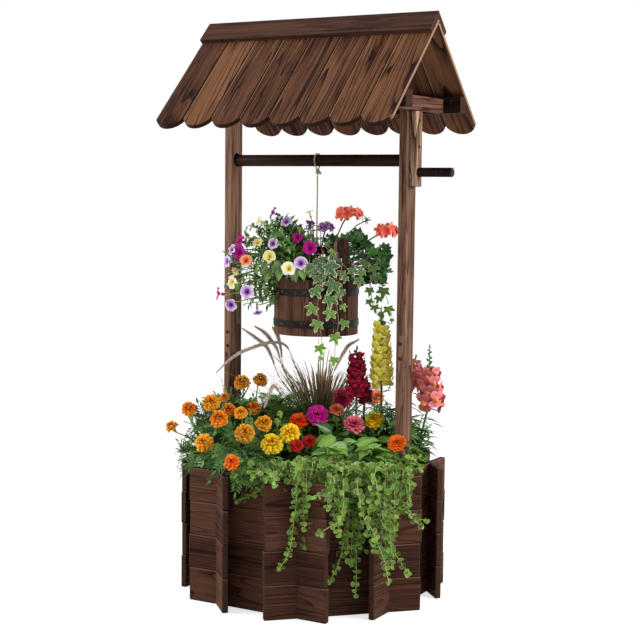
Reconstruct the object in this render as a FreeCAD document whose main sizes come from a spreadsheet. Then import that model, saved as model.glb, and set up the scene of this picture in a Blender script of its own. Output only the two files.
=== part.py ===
import FreeCAD, Part
import Sketcher
import math
import os

# Wishing well planter: an eight-sided tub of crossing boards, two posts with a
# scalloped roof, a round crossbar, and a stave bucket that hangs from it on twine.
# Millimetres. +X runs along the ridge, -Y is the front, +Z is up.
# The origin is on the ground, at the middle of the tub.

os.makedirs("parts", exist_ok=True)
doc = FreeCAD.newDocument("WishingWellPlanter")
V = FreeCAD.Vector

# Driving sizes
driving = [
    ("wall_apothem", 221, "middle of the tub to the outer face of a wall board"),
    ("wall_thickness", 12, "wall board, in to out"),
    ("board_height", 65.8, "wall board, bottom edge to top edge"),
    ("board_tail", 65, "wall board past the middle of its crossing"),
    ("tail_play", 1.6, "how much the tails of one course differ from the next"),
    ("lap_play", 0.3, "side play in the half laps of the walls"),
    ("edge_break", 1.5, "softened edge of boards and posts"),
    ("slat_thickness", 12, "floor slat"),
    ("slat_width", 44, "floor slat"),
    ("slat_pitch", 52, "middle of one floor slat to the next"),
    ("bearer_height", 20, "bearer under the floor slats"),
    ("bearer_width", 26, "bearer under the floor slats"),
    ("bearer_pitch", 70, "middle of one bearer to the next"),
    ("slat_clear", 3, "floor slat to what stands beside it"),
    ("post_thickness", 18, "post, along the ridge"),
    ("post_depth", 40, "post, front to back"),
    ("post_lap_base", 467, "ground to the foot of the lap joint in a post"),
    ("post_lap_top", 526, "ground to the top of the lap joint in a post"),
    ("post_screw_low", 481.5, "ground to the lower screw of the lap joint"),
    ("post_screw_high", 510.5, "ground to the upper screw of the lap joint"),
    ("beam_height", 28, "gable beam"),
    ("beam_thickness", 15, "gable beam, along the ridge"),
    ("beam_screw_spread", 18, "between the two screws that hold a gable beam"),
    ("rail_spread", 212, "clear space between the two eave rails"),
    ("rail_depth", 28, "eave rail, front to back"),
    ("rail_height", 32, "eave rail"),
    ("rail_screw_pitch", 68.5, "one screw of an eave rail to the next"),
    ("rail_screw_rise", 23, "underside of an eave rail to its screws"),
    ("rail_bevel", 8.7, "height of the bevel of an eave rail, under the roof boards"),
    ("ridge_height", 1131, "ground to where the outer faces of the roof boards meet"),
    ("roof_pitch", 45.4, "slope of the roof in degrees"),
    ("roof_length", 521.6, "roof, along the ridge"),
    ("roof_slope", 264, "ridge to the inner corners of the scallops"),
    ("scallop_depth", 22, "how far a scallop hangs past its corners"),
    ("roof_thickness", 9, "roof board"),
    ("roof_gap", 0.8, "open joint between two roof boards"),
    ("cap_thickness", 10, "ridge cap board"),
    ("cap_width", 41, "ridge cap board, ridge to lower edge"),
    ("bar_drop", 95, "underside of the gable beams down to the axis of the crossbar"),
    ("bar_diameter", 23.5, "crossbar"),
    ("bar_hole", 27.5, "hole in a post for the crossbar"),
    ("bar_clear", 0.3, "crossbar to the bottom of its hole"),
    ("bar_hole_wall", 3, "wood left behind the blind hole in the left post"),
    ("bar_end_clear", 0.5, "ends of the crossbar to what stops them"),
    ("arm_length", 145, "crank arm, top to bottom"),
    ("arm_width", 28, "crank arm, front to back"),
    ("arm_thickness", 15, "crank arm, along the ridge"),
    ("arm_gap", 0.3, "top of the crank arm to the gable beam"),
    ("arm_screw_drop", 19.2, "top of the crank arm down to its upper screw"),
    ("arm_screw_gap", 49.5, "one screw of the crank arm to the other"),
    ("grip_rise", 27.8, "lower end of the crank arm to the axis of its handle"),
    ("grip_diameter", 18, "crank handle"),
    ("grip_reach", 72, "crank handle past the crank arm"),
    ("grip_play", 0.1, "play of the crank handle in its hole"),
    ("screw_shank", 3.8, "screw shank, across"),
    ("screw_length", 24, "short screw under its head"),
    ("long_screw", 34, "long screw under its head"),
    ("screw_head", 7.6, "screw head, across"),
    ("screw_head_height", 2, "screw head"),
    ("screw_hole", 4.2, "hole for a screw"),
    ("twine_hang", 178.5, "axis of the crossbar down to the axis of the handle rod"),
    ("rod_rise", 166.5, "bottom of the bucket to the axis of its handle rod"),
    ("bucket_height", 111, "bucket, without its ears"),
    ("bucket_radius", 84.5, "middle of the bucket to the outside of its staves"),
    ("stave_thickness", 10, "stave, in to out"),
    ("stave_edge", 0.8, "softened outer edge of a stave"),
    ("bucket_turn", 22, "how far the bucket hangs turned from the crossbar, in degrees"),
    ("ear_over_rod", 26.5, "axis of the handle rod to the top of an ear"),
    ("ear_flat", 3.2, "half the flat left at the top of an ear"),
    ("croze_depth", 3, "groove in the staves for the floor disc"),
    ("bucket_floor_rise", 6, "bottom of the bucket to its floor disc"),
    ("bucket_floor_thickness", 10, "floor disc of the bucket"),
    ("bucket_floor_play", 0.2, "edge of the floor disc to the groove"),
    ("lower_hoop_rise", 23, "bottom of the bucket to the middle of the lower hoop"),
    ("upper_hoop_rise", 85.5, "bottom of the bucket to the middle of the upper hoop"),
    ("hoop_height", 14, "hoop"),
    ("hoop_thickness", 1.4, "hoop"),
    ("hoop_play", 0.1, "hoop to the staves"),
    ("rivet_radius", 2.6, "rivet head"),
    ("rivet_height", 1.2, "rivet head"),
    ("rivet_hole", 2.8, "hole for a rivet"),
    ("rivet_play", 0.2, "rivet to the wall of its hole"),
    ("rivet_length", 6, "rivet under its head"),
    ("rod_diameter", 15, "handle rod of the bucket"),
    ("rod_play", 0.1, "play of the handle rod in the ears"),
    ("twine_diameter", 3, "twine"),
    ("twine_clear", 0.4, "twine to the crossbar that it goes round"),
    ("rod_twine_clear", 0.1, "twine to the handle rod that it goes round"),
    ("knot_drop", 21.8, "axis of the crossbar down to the middle of its knot"),
    ("low_knot_rise", 15.5, "axis of the handle rod up to the middle of its knot"),
    ("knot_radius", 4.2, "knot, across its middle"),
    ("knot_half_height", 6.5, "knot, middle to end"),
    ("knot_clear", 0.4, "straight twine to the knots"),
    ("knot_tail", 13, "free end of the twine at the upper knot"),
    ("soil_drop", 30, "rim of the tub to its soil"),
    ("bucket_soil_drop", 10, "rim of the bucket to its soil"),
    ("soil_clear", 0.3, "soil to what holds it"),
    ("post_soil_clear", 4, "soil to the posts and their screws"),
    ("plant_clear", 0.3, "plants to what they hang over"),
    ("twine_room", 18, "plants to the middle of the twine"),
    ("grass_room", 80.8, "top of the grass to the bottom of the bucket"),
    ("snapdragon_room", 45.8, "top of the dark snapdragon to the bottom of the bucket"),
    ("petunia_drop", 55, "rim of the bucket down to the foot of the hanging petunias"),
    ("petunia_back_drop", 20, "rim of the bucket down to the foot of the back petunias"),
    ("hang_room", 20, "bottom of the bucket to the lowest room kept free for it"),
    ("ear_clear", 1, "plants to the tops of the ears"),
    ("ear_side_clear", 2, "plants to the sides of the ears"),
]


def filled_sheet(name, rows):
    sheet = doc.addObject("Spreadsheet::Sheet", name)
    for row, (alias, content, meaning) in enumerate(rows, start=1):
        sheet.set("A%d" % row, alias)
        sheet.set("B%d" % row, str(content))
        sheet.set("C%d" % row, meaning)
        sheet.setAlias("B%d" % row, alias)
    return sheet


sizes = filled_sheet("Sizes", driving)
doc.recompute()

# Sizes worked out from the driving ones, each a formula in a second sheet
worked_rows = [
    ("wall_inner", "=Sizes.wall_apothem - Sizes.wall_thickness", "middle to the inner wall face"),
    ("cross_run", "=(Sizes.wall_apothem - Sizes.wall_thickness / 2) * tan(22.5 deg)",
     "middle of a wall board to the middle of its crossing"),
    ("rim_height", "=4 * Sizes.board_height", "ground to the rim of the tub"),
    ("post_inner", "=Sizes.wall_apothem - Sizes.wall_thickness - Sizes.post_thickness",
     "middle to the inner face of a post"),
    ("roof_board", "=Sizes.roof_length / 8", "one roof board to the next"),
    ("ridge_inner", "=Sizes.ridge_height - Sizes.roof_thickness / cos(Sizes.roof_pitch * 1 deg)",
     "ground to where the inner faces of the roof boards meet"),
    ("pitch_rise", "=tan(Sizes.roof_pitch * 1 deg)", "rise of the roof for one step in"),
    ("bevel_foot", "=ridge_inner - (Sizes.rail_spread / 2 + Sizes.rail_depth) * pitch_rise",
     "ground to the foot of the bevel of an eave rail"),
    ("rail_top", "=bevel_foot + Sizes.rail_bevel", "ground to the top of an eave rail"),
    ("beam_base", "=rail_top - Sizes.rail_height",
     "ground to the underside of the gable beams and eave rails"),
    ("post_top", "=beam_base + Sizes.beam_height", "ground to the top of a post"),
    ("bar_height", "=beam_base - Sizes.bar_drop", "ground to the axis of the crossbar"),
    ("bar_hole_height", "=bar_height + (Sizes.bar_hole - Sizes.bar_diameter) / 2"
     " - Sizes.bar_clear", "ground to the middle of the crossbar's hole"),
    ("arm_outer", "=Sizes.wall_apothem - Sizes.wall_thickness + Sizes.arm_thickness",
     "middle to the outer face of the crank arm"),
    ("arm_top", "=beam_base - Sizes.arm_gap", "ground to the top of the crank arm"),
    ("arm_screw_high", "=arm_top - Sizes.arm_screw_drop", "ground to its upper screw"),
    ("arm_screw_low", "=arm_screw_high - Sizes.arm_screw_gap", "ground to its lower screw"),
    ("grip_height", "=arm_top - Sizes.arm_length + Sizes.grip_rise",
     "ground to the axis of the crank handle"),
    ("double_sine", "=sin(2 * Sizes.roof_pitch * 1 deg)", "of the angle between the slopes"),
    ("double_cosine", "=cos(2 * Sizes.roof_pitch * 1 deg)", "of the angle between the slopes"),
    ("rail_inner", "=Sizes.rail_spread / 2", "middle to the inner face of an eave rail"),
    ("rail_outer", "=Sizes.rail_spread / 2 + Sizes.rail_depth", "middle to its outer face"),
    ("floor_top", "=Sizes.bearer_height + Sizes.slat_thickness", "ground to the floor slats"),
    ("soil_top", "=4 * Sizes.board_height - Sizes.soil_drop", "ground to the soil"),
    ("rod_height", "=bar_height - Sizes.twine_hang", "ground to the axis of the handle rod"),
    ("bucket_base", "=rod_height - Sizes.rod_rise", "ground to the bottom of the bucket"),
    ("bucket_rim", "=bucket_base + Sizes.bucket_height", "ground to the bucket's rim"),
    ("bucket_inner", "=Sizes.bucket_radius - Sizes.stave_thickness", "inside of the staves"),
    ("bucket_floor_top", "=bucket_base + Sizes.bucket_floor_rise"
     " + Sizes.bucket_floor_thickness", "ground to the top of the floor disc"),
    ("bucket_soil_top", "=bucket_rim - Sizes.bucket_soil_drop", "ground to the bucket's soil"),
    ("ear_half", "=Sizes.bucket_radius * sin(11.25 deg)", "half the width of an ear"),
    ("ear_height", "=Sizes.rod_rise + Sizes.ear_over_rod",
     "bottom of the bucket to the top of an ear"),
    ("knot_height", "=bar_height - Sizes.knot_drop", "ground to the knot under the crossbar"),
    ("low_knot_height", "=rod_height + Sizes.low_knot_rise",
     "ground to the knot over the handle rod"),
    ("hoop_inner", "=Sizes.bucket_radius + Sizes.hoop_play", "inside of a hoop"),
    ("hoop_outer", "=Sizes.bucket_radius + Sizes.hoop_play + Sizes.hoop_thickness",
     "outside of a hoop"),
    ("bar_loop", "=Sizes.bar_diameter / 2 + Sizes.twine_clear + Sizes.twine_diameter / 2",
     "axis of the crossbar to the middle of its loop of twine"),
    ("rod_loop", "=Sizes.rod_diameter / 2 + Sizes.rod_twine_clear + Sizes.twine_diameter / 2",
     "axis of the handle rod to the middle of its loop of twine"),
]
worked = filled_sheet("Worked", worked_rows)
doc.recompute()


# The number in a cell of either sheet
def size(alias):
    if alias in worked_names:
        return float(worked.get(alias))
    return float(sizes.get(alias))


worked_names = [row[0] for row in worked_rows]


# Sketches and features
def origin_plane(body, role):
    for feature in body.Origin.OriginFeatures:
        if feature.Role == role:
            return feature
    raise ValueError("no plane " + role)


def new_body(label):
    body = doc.addObject("PartDesign::Body", label)
    body.Label = label
    return body


def new_sketch(body, name, role, lift=None):
    sketch = body.newObject("Sketcher::SketchObject", name)
    sketch.AttachmentSupport = [(origin_plane(body, role), "")]
    sketch.MapMode = "FlatFace"
    if lift:
        sketch.setExpression("AttachmentOffset.Base.z", lift)
    return sketch


# Holds point end of edge, first drawn at spot, at (across, up) from the sketch's origin
def pin_point(sketch, edge, end, spot, across, up):
    for kind, start, formula in (("DistanceX", spot.x, across), ("DistanceY", spot.y, up)):
        index = sketch.addConstraint(Sketcher.Constraint(kind, -1, 1, edge, end, start))
        sketch.setExpression("Constraints[%d]" % index, formula)


# A closed outline of straight lines, each corner bound to the sheets
def outline(body, name, role, corners, lift=None):
    sketch = new_sketch(body, name, role, lift)
    count = len(corners)
    start = []
    for index in range(count):
        turn = 2 * math.pi * index / count
        start.append(V(100 * math.cos(turn), 100 * math.sin(turn), 0))
    for index in range(count):
        line = Part.LineSegment(start[index], start[(index + 1) % count])
        sketch.addGeometry(line, False)
    for index in range(count):
        following = (index + 1) % count
        sketch.addConstraint(Sketcher.Constraint("Coincident", index, 2, following, 1))
    for index, (across, up) in enumerate(corners):
        pin_point(sketch, index, 1, start[index], across, up)
    return sketch


# Circles, each given as (across, up, diameter)
def circles(body, name, role, rounds, lift=None):
    sketch = new_sketch(body, name, role, lift)
    for index, (across, up, diameter) in enumerate(rounds):
        middle = V(40.0 * index + 20, 20, 0)
        sketch.addGeometry(Part.Circle(middle, V(0, 0, 1), 5), False)
        pin_point(sketch, index, 3, middle, across, up)
        number = sketch.addConstraint(Sketcher.Constraint("Diameter", index, 10.0))
        sketch.setExpression("Constraints[%d]" % number, diameter)
    return sketch


def pad(body, name, sketch, length, both_ways=False):
    feature = body.newObject("PartDesign::Pad", name)
    feature.Profile = sketch
    feature.Midplane = both_ways
    feature.setExpression("Length", length)
    return feature


# Cuts along the sketch's normal, through everything or to a stated depth
def pocket(body, name, sketch, depth=None):
    feature = body.newObject("PartDesign::Pocket", name)
    feature.Profile = sketch
    feature.Reversed = True
    if depth:
        feature.setExpression("Length", depth)
    else:
        feature.Type = "ThroughAll"
    return feature


def break_edges(body, name, base, wanted):
    doc.recompute()
    names = []
    for number, edge in enumerate(base.Shape.Edges, start=1):
        if wanted(edge):
            names.append("Edge%d" % number)
    feature = body.newObject("PartDesign::Chamfer", name)
    feature.Base = (base, names)
    feature.setExpression("Size", "Sizes.edge_break")
    return feature


def every_edge(edge):
    return True


def runs_along(axis):
    def wanted(edge):
        ends = [vertex.Point for vertex in edge.Vertexes]
        return len(ends) == 2 and abs((ends[1] - ends[0]).normalize().dot(axis)) > 0.999
    return wanted


# Solids by Part, with their sizes and place bound to the sheets
def solid(kind, name, sizes_of, base=("0", "0", "0"), axis=None, angle=None):
    part = doc.addObject("Part::" + kind, name)
    for prop, formula in sizes_of.items():
        part.setExpression(prop, formula)
    place(part, base, axis, angle)
    return part


def place(part, base, axis=None, angle=None):
    if axis:
        part.Placement = FreeCAD.Placement(V(0, 0, 0), FreeCAD.Rotation(V(*axis), 10))
        part.setExpression("Placement.Rotation.Angle", angle)
    for letter, formula in zip("xyz", base):
        if formula != "0":
            part.setExpression("Placement.Base." + letter, formula)


def cut(name, base, tool):
    part = doc.addObject("Part::Cut", name)
    part.Base = base
    part.Tool = tool
    return part


def joined(name, shapes):
    part = doc.addObject("Part::MultiFuse", name)
    part.Shapes = shapes
    return part


def group(name, members):
    part = doc.addObject("Part::Compound", name)
    part.Links = members
    return part


def copy_of(source, name, placement):
    link = doc.addObject("App::Link", name)
    link.LinkedObject = source
    link.Placement = placement
    return link


# An upright prism with a regular polygon as its plan
def prism(name, corners, radius, height, base=("0", "0", "0")):
    part = solid("Prism", name, {"Circumradius": radius, "Height": height}, base)
    part.Polygon = corners
    return part


# A ruled loft through level polygons, each given as (radius, place)
def stacked(name, corners, rings):
    sections = []
    for index, (radius, spot) in enumerate(rings):
        ring = doc.addObject("Part::RegularPolygon", "%s_ring_%d" % (name, index))
        ring.Polygon = corners
        ring.setExpression("Circumradius", radius)
        place(ring, spot)
        sections.append(ring)
    loft = doc.addObject("Part::Loft", name)
    loft.Sections = sections
    loft.Solid = True
    loft.Ruled = True
    return loft


# Room for one straight screw or rivet; small ones are eight-sided, to keep the mesh light
def small_room(name, way, start, length, width="Sizes.screw_hole"):
    part = prism(name, 8, width + " / 2", length, start)
    part.Placement.Rotation = FreeCAD.Rotation(V(0, 0, 1), V(*way))
    return part


def drilled(label, body, rooms):
    tool = rooms[0] if len(rooms) == 1 else joined(label + "_rooms", rooms)
    return cut(label + "_drilled", body, tool)


nodes = []


def node(part, label):
    part.Label = label
    nodes.append(part)
    return part


# Tub walls: half-lapped boards that cross at the eight corners
wall_names = ["wall_front", "wall_front_right", "wall_right", "wall_back_right",
              "wall_back", "wall_back_left", "wall_left", "wall_front_left"]
tail_steps = [(0.0, 0.6), (0.9, -0.8), (-0.7, 1.0), (0.4, -0.3)]


# A wall board lies along X at the front of the tub, with its lower edge at Z = 0
def wall_board(label, course, notch_on_top, screwed):
    body = new_body(label)
    left_step, right_step = tail_steps[course]
    front = "-Sizes.wall_apothem"
    back = "-Worked.wall_inner"
    left = "-(Worked.cross_run + Sizes.board_tail + %g * Sizes.tail_play)" % left_step
    right = "Worked.cross_run + Sizes.board_tail + %g * Sizes.tail_play" % right_step
    corners = [(left, front), (right, front), (right, back), (left, back)]
    blank = pad(body, label + "_blank", outline(body, label + "_plan", "XY_Plane", corners),
                "Sizes.board_height")
    break_edges(body, label + "_edges", blank, every_edge)
    # the notch follows the footprint of the neighbour that crosses at 45 degrees
    near = "(Worked.wall_inner - Sizes.lap_play)"
    far = "(Sizes.wall_apothem + Sizes.lap_play)"
    outside = "-(Sizes.wall_apothem + 1)"
    inside = "-(Worked.wall_inner - 1)"
    footprint = []
    for reach, side in ((near, outside), (far, outside), (far, inside), (near, inside)):
        across = "(%s + %s * cos(45 deg)) / sin(45 deg)" % (reach, side)
        footprint.append((across, side))
    lift = "Sizes.board_height / 2" if notch_on_top else None
    depth = None if notch_on_top else "Sizes.board_height / 2"
    plan = outline(body, label + "_notch_plan", "XY_Plane", footprint, lift)
    notch = pocket(body, label + "_notch", plan, depth)
    other = body.newObject("PartDesign::Mirrored", label + "_other_notch")
    other.Originals = [notch]
    other.MirrorPlane = (origin_plane(body, "YZ_Plane"), [""])
    body.Tip = other
    doc.recompute()
    if body.Shape.Volume > blank.Shape.Volume * 0.97:
        raise ValueError("the notches of %s cut nothing" % label)
    if not screwed:
        return body
    room = small_room(label + "_room", (0, -1, 0),
                      ("0", "-(Worked.wall_inner - 1)", "Sizes.board_height / 2"),
                      "Sizes.screw_length - Sizes.post_thickness + 2")
    return drilled(label, body, [room])


masters = {}
for course in range(4):
    masters["over", course] = wall_board("over_board_%d" % course, course, False, False)
    masters["post", course] = wall_board("post_board_%d" % course, course, False, True)
    masters["under", course] = wall_board("under_board_%d" % course, course, True, False)

for side, name in enumerate(wall_names):
    kind = ("over", "under", "post", "under")[side % 4]
    boards = []
    for course in range(4):
        rotation = FreeCAD.Rotation(V(0, 0, 1), 45 * side)
        board = copy_of(masters[kind, course], "%s_course_%d" % (name, course),
                        FreeCAD.Placement(V(0, 0, 0), rotation))
        board.setExpression("Placement.Base.z", "%d * Sizes.board_height" % course)
        boards.append(board)
    node(group(name + "_boards", boards), name)

# Floor: three bearers on the ground, and slats across them with gaps for drainage
bearers = []
for step in (-1, 0, 1):
    bearer = solid("Box", "bearer_%d" % (step + 2),
                   {"Length": "Sizes.bearer_width", "Width": "2 * Worked.wall_inner",
                    "Height": "Sizes.bearer_height"},
                   ("%d * Sizes.bearer_pitch - Sizes.bearer_width / 2" % step,
                    "-Worked.wall_inner", "0"))
    bearers.append(bearer)
node(group("bearer_group", bearers), "floor_bearers")

slat_room = 2 * (size("wall_inner") - size("slat_clear"))
slat_count = int((slat_room - size("slat_width")) / size("slat_pitch")) + 1
slats = []
for step in range(slat_count):
    offset = step - (slat_count - 1) / 2
    edge = "(%g * Sizes.slat_pitch + Sizes.slat_width / 2)" % abs(offset)
    reach = ("min(Worked.post_inner - Sizes.slat_clear; Worked.wall_inner / cos(45 deg) - %s"
             " - Sizes.slat_clear)" % edge)
    slat = solid("Box", "slat_%d" % (step + 1),
                 {"Length": "2 * " + reach, "Width": "Sizes.slat_width",
                  "Height": "Sizes.slat_thickness"},
                 ("-" + reach, "%g * Sizes.slat_pitch - Sizes.slat_width / 2" % offset,
                  "Sizes.bearer_height"))
    slats.append(slat)
node(group("slat_group", slats), "floor_slats")


# Posts: two pieces each, half-lapped front to back; side is -1 left or +1 right
def post_piece(label, side, upper, tongue_in_front):
    body = new_body(label + "_timber")
    front = "-Sizes.post_depth / 2"
    back = "Sizes.post_depth / 2"
    if upper:
        end, shoulder, tip = "Worked.post_top", "Sizes.post_lap_top", "Sizes.post_lap_base"
    else:
        end, shoulder, tip = "0", "Sizes.post_lap_base", "Sizes.post_lap_top"
    near, away = (front, back) if tongue_in_front else (back, front)
    corners = [(near, end), (away, end), (away, shoulder), ("0", shoulder), ("0", tip),
               (near, tip)]
    start = "Worked.post_inner" if side > 0 else "-Worked.wall_inner"
    blank = pad(body, label + "_blank", outline(body, label + "_side", "YZ_Plane", corners, start),
                "Sizes.post_thickness")
    break_edges(body, label + "_edges", blank, post_corner)
    # the left post holds the crossbar in a blind hole, the right one lets it through
    if upper:
        face = start + " - 1" if side > 0 else "-Worked.wall_inner + Sizes.bar_hole_wall"
        hole = circles(body, label + "_bar_hole", "YZ_Plane",
                       [("0", "Worked.bar_hole_height", "Sizes.bar_hole")], face)
        pocket(body, label + "_bar_bore", hole)
    return node(drilled(label, body, post_rooms(label, side, upper, start)), label)


# Room for the screws of a post: two from the front through its lap joint, and those
# along the ridge, which hold the gable beam and the crank arm, or the walls
def post_rooms(label, side, upper, start):
    middle = "%d * (Worked.post_inner + Sizes.post_thickness / 2)" % side
    rooms = []
    for level in ("Sizes.post_screw_low", "Sizes.post_screw_high"):
        rooms.append(small_room("%s_lap_room_%d" % (label, len(rooms) + 1), (0, 1, 0),
                                (middle, "-(Sizes.post_depth / 2 + 1)", level),
                                "Sizes.long_screw + 2"))
    spots = [("0", "%g * Sizes.board_height" % (course + 0.5)) for course in range(4)]
    if upper:
        spots = beam_screw_spots()
    if upper and side > 0:
        spots += [("0", "Worked.arm_screw_high"), ("0", "Worked.arm_screw_low")]
    for number, (across, level) in enumerate(spots, start=1):
        rooms.append(small_room("%s_cross_room_%d" % (label, number), (1, 0, 0),
                                (start + " - 1", across, level), "Sizes.post_thickness + 2"))
    return rooms


def post_corner(edge):
    ends = [vertex.Point for vertex in edge.Vertexes]
    upright = abs(ends[0].z - ends[1].z) > 1
    return upright and abs(ends[0].y) > 1


def beam_screw_spots():
    spread = "Sizes.beam_screw_spread / 2"
    level = "Worked.beam_base + Sizes.beam_height / 2"
    return [(spread, level), ("-" + spread, level)]


post_piece("left_post_lower", -1, False, False)
post_piece("left_post_upper", -1, True, True)
post_piece("right_post_lower", 1, False, True)
post_piece("right_post_upper", 1, True, False)


# Gable beams across the outer faces of the posts, between the eave rails
def gable_beam(label, side):
    body = new_body(label + "_timber")
    low = "Worked.beam_base"
    high = "Worked.post_top"
    corners = [("-Worked.rail_inner", low), ("Worked.rail_inner", low),
               ("Worked.rail_inner", high), ("-Worked.rail_inner", high)]
    start = "Worked.wall_inner" if side > 0 else "-Worked.wall_inner - Sizes.beam_thickness"
    blank = pad(body, label + "_blank", outline(body, label + "_side", "YZ_Plane", corners, start),
                "Sizes.beam_thickness")
    break_edges(body, label + "_edges", blank, runs_along(V(0, 1, 0)))
    rooms = []
    for across, level in beam_screw_spots():
        rooms.append(small_room("%s_room_%d" % (label, len(rooms) + 1), (side, 0, 0),
                                ("%d * (Worked.wall_inner - 1)" % side, across, level),
                                "Sizes.screw_length - Sizes.post_thickness + 2"))
    return node(drilled(label, body, rooms), label)


gable_beam("gable_beam_left", -1)
gable_beam("gable_beam_right", 1)


# Screws: flat pan heads, with the underside of the head at the origin and the tip at +Z
def screw_blank(label, length):
    shank = prism(label + "_shank", 8, "Sizes.screw_shank / 2",
                  length + " + Sizes.screw_head_height / 2",
                  ("0", "0", "-Sizes.screw_head_height / 2"))
    head = prism(label + "_head", 12, "Sizes.screw_head / 2", "Sizes.screw_head_height",
                 ("0", "0", "-Sizes.screw_head_height"))
    return joined(label, [shank, head])


def turned(body, name, sketch, axis, angle=None):
    feature = body.newObject("PartDesign::Revolution", name)
    feature.Profile = sketch
    feature.ReferenceAxis = (sketch, [axis])
    feature.Angle = 360
    if angle:
        feature.Midplane = True
        feature.Angle = angle
    return feature


short_screw = screw_blank("short_screw", "Sizes.screw_length")
long_screw = screw_blank("long_screw", "Sizes.long_screw")
screws = []


def drive(screw, way, spot):
    rotation = FreeCAD.Rotation(V(0, 0, 1), V(*way))
    link = copy_of(screw, "screw_%d" % (len(screws) + 1), FreeCAD.Placement(V(0, 0, 0), rotation))
    for letter, formula in zip("xyz", spot):
        if formula != "0":
            link.setExpression("Placement.Base." + letter, formula)
    screws.append(link)


beam_level = "Worked.beam_base + Sizes.beam_height / 2"
for side in (-1, 1):
    inner = "%d * Worked.post_inner" % side
    middle = "%d * (Worked.post_inner + Sizes.post_thickness / 2)" % side
    drive(long_screw, (0, 1, 0), (middle, "-Sizes.post_depth / 2", "Sizes.post_screw_low"))
    drive(long_screw, (0, 1, 0), (middle, "-Sizes.post_depth / 2", "Sizes.post_screw_high"))
    for turn in (-1, 1):
        drive(short_screw, (side, 0, 0),
              (inner, "%d * Sizes.beam_screw_spread / 2" % turn, beam_level))
    for course in range(4):
        drive(short_screw, (side, 0, 0),
              (inner, "0", "%g * Sizes.board_height" % (course + 0.5)))
drive(short_screw, (-1, 0, 0), ("Worked.arm_outer", "0", "Worked.arm_screw_high"))
drive(short_screw, (-1, 0, 0), ("Worked.arm_outer", "0", "Worked.arm_screw_low"))


# Eave rails along the ridge, bevelled to lie against the roof boards. The room for
# their screws is cut from the rail and from the roof boards alike.
def rail_screw_room(label, side):
    rooms = []
    level = "Worked.beam_base + Sizes.rail_screw_rise"
    for step in range(8):
        place_along = "%g * Sizes.rail_screw_pitch" % (step - 3.5)
        start = "%d * (Worked.rail_inner - 1)" % side
        rooms.append(small_room("%s_screw_room_%d" % (label, step + 1), (0, side, 0),
                                (place_along, start, level), "Sizes.long_screw + 2"))
        drive(long_screw, (0, side, 0),
              (place_along, "%d * Worked.rail_inner" % side, level))
    return joined(label + "_screw_rooms", rooms)


def eave_rail(label, side, room):
    body = new_body(label + "_blank")
    sign = "-" if side < 0 else ""
    inner = sign + "Worked.rail_inner"
    outer = sign + "Worked.rail_outer"
    bevel_out = sign + "(Worked.ridge_inner - Worked.rail_top) / Worked.pitch_rise"
    base = "Worked.beam_base"
    corners = [(inner, base), (outer, base), (outer, "Worked.bevel_foot"),
               (bevel_out, "Worked.rail_top"), (inner, "Worked.rail_top")]
    pad(body, label + "_length", outline(body, label + "_side", "YZ_Plane", corners),
        "Sizes.roof_length", True)
    return node(cut(label + "_drilled", body, room), label)


room_front = rail_screw_room("front", -1)
room_back = rail_screw_room("back", 1)
eave_rail("eave_rail_front", -1, room_front)
eave_rail("eave_rail_back", 1, room_back)
node(group("screw_group", screws), "frame_screws")


# A roof board in its own frame: X across, Y down its slope from the ridge (negative on
# the front slope), Z out. The front boards lap over the tops of the back ones.
def roof_board(label, sign, index, room):
    body = new_body(label + "_blank")
    thick = "Sizes.roof_thickness"
    if sign:
        top_out = "0"
        top_in = "%s * Worked.double_cosine / Worked.double_sine" % thick
    else:
        top_out = "%s / Worked.double_sine" % thick
        top_in = "%s * Worked.pitch_rise" % thick
    foot = "%s(Sizes.roof_slope + Sizes.scallop_depth)" % sign
    corners = [(top_in, "0"), (foot, "0"), (foot, thick), (top_out, thick)]
    width = "(Worked.roof_board - Sizes.roof_gap)"
    blank = pad(body, label + "_length", outline(body, label + "_side", "YZ_Plane", corners),
                width, True)
    break_edges(body, label + "_edges", blank, long_top_edge)
    cut_scallop(body, label, sign, width)
    slant = "Sizes.roof_pitch * 1 deg"
    tilt = (1, 0, 0) if sign else (-1, 0, 0)
    drop = "%s sin(%s) * %s" % ("" if sign else "-", slant, thick)
    place(body, ("%g * Worked.roof_board" % (index - 3.5), drop,
                 "Sizes.ridge_height - %s * cos(%s)" % (thick, slant)), tilt, slant)
    return node(cut(label + "_drilled", body, room), label)


def long_top_edge(edge):
    ends = [vertex.Point for vertex in edge.Vertexes]
    return abs(ends[0].y - ends[1].y) > 100


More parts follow.
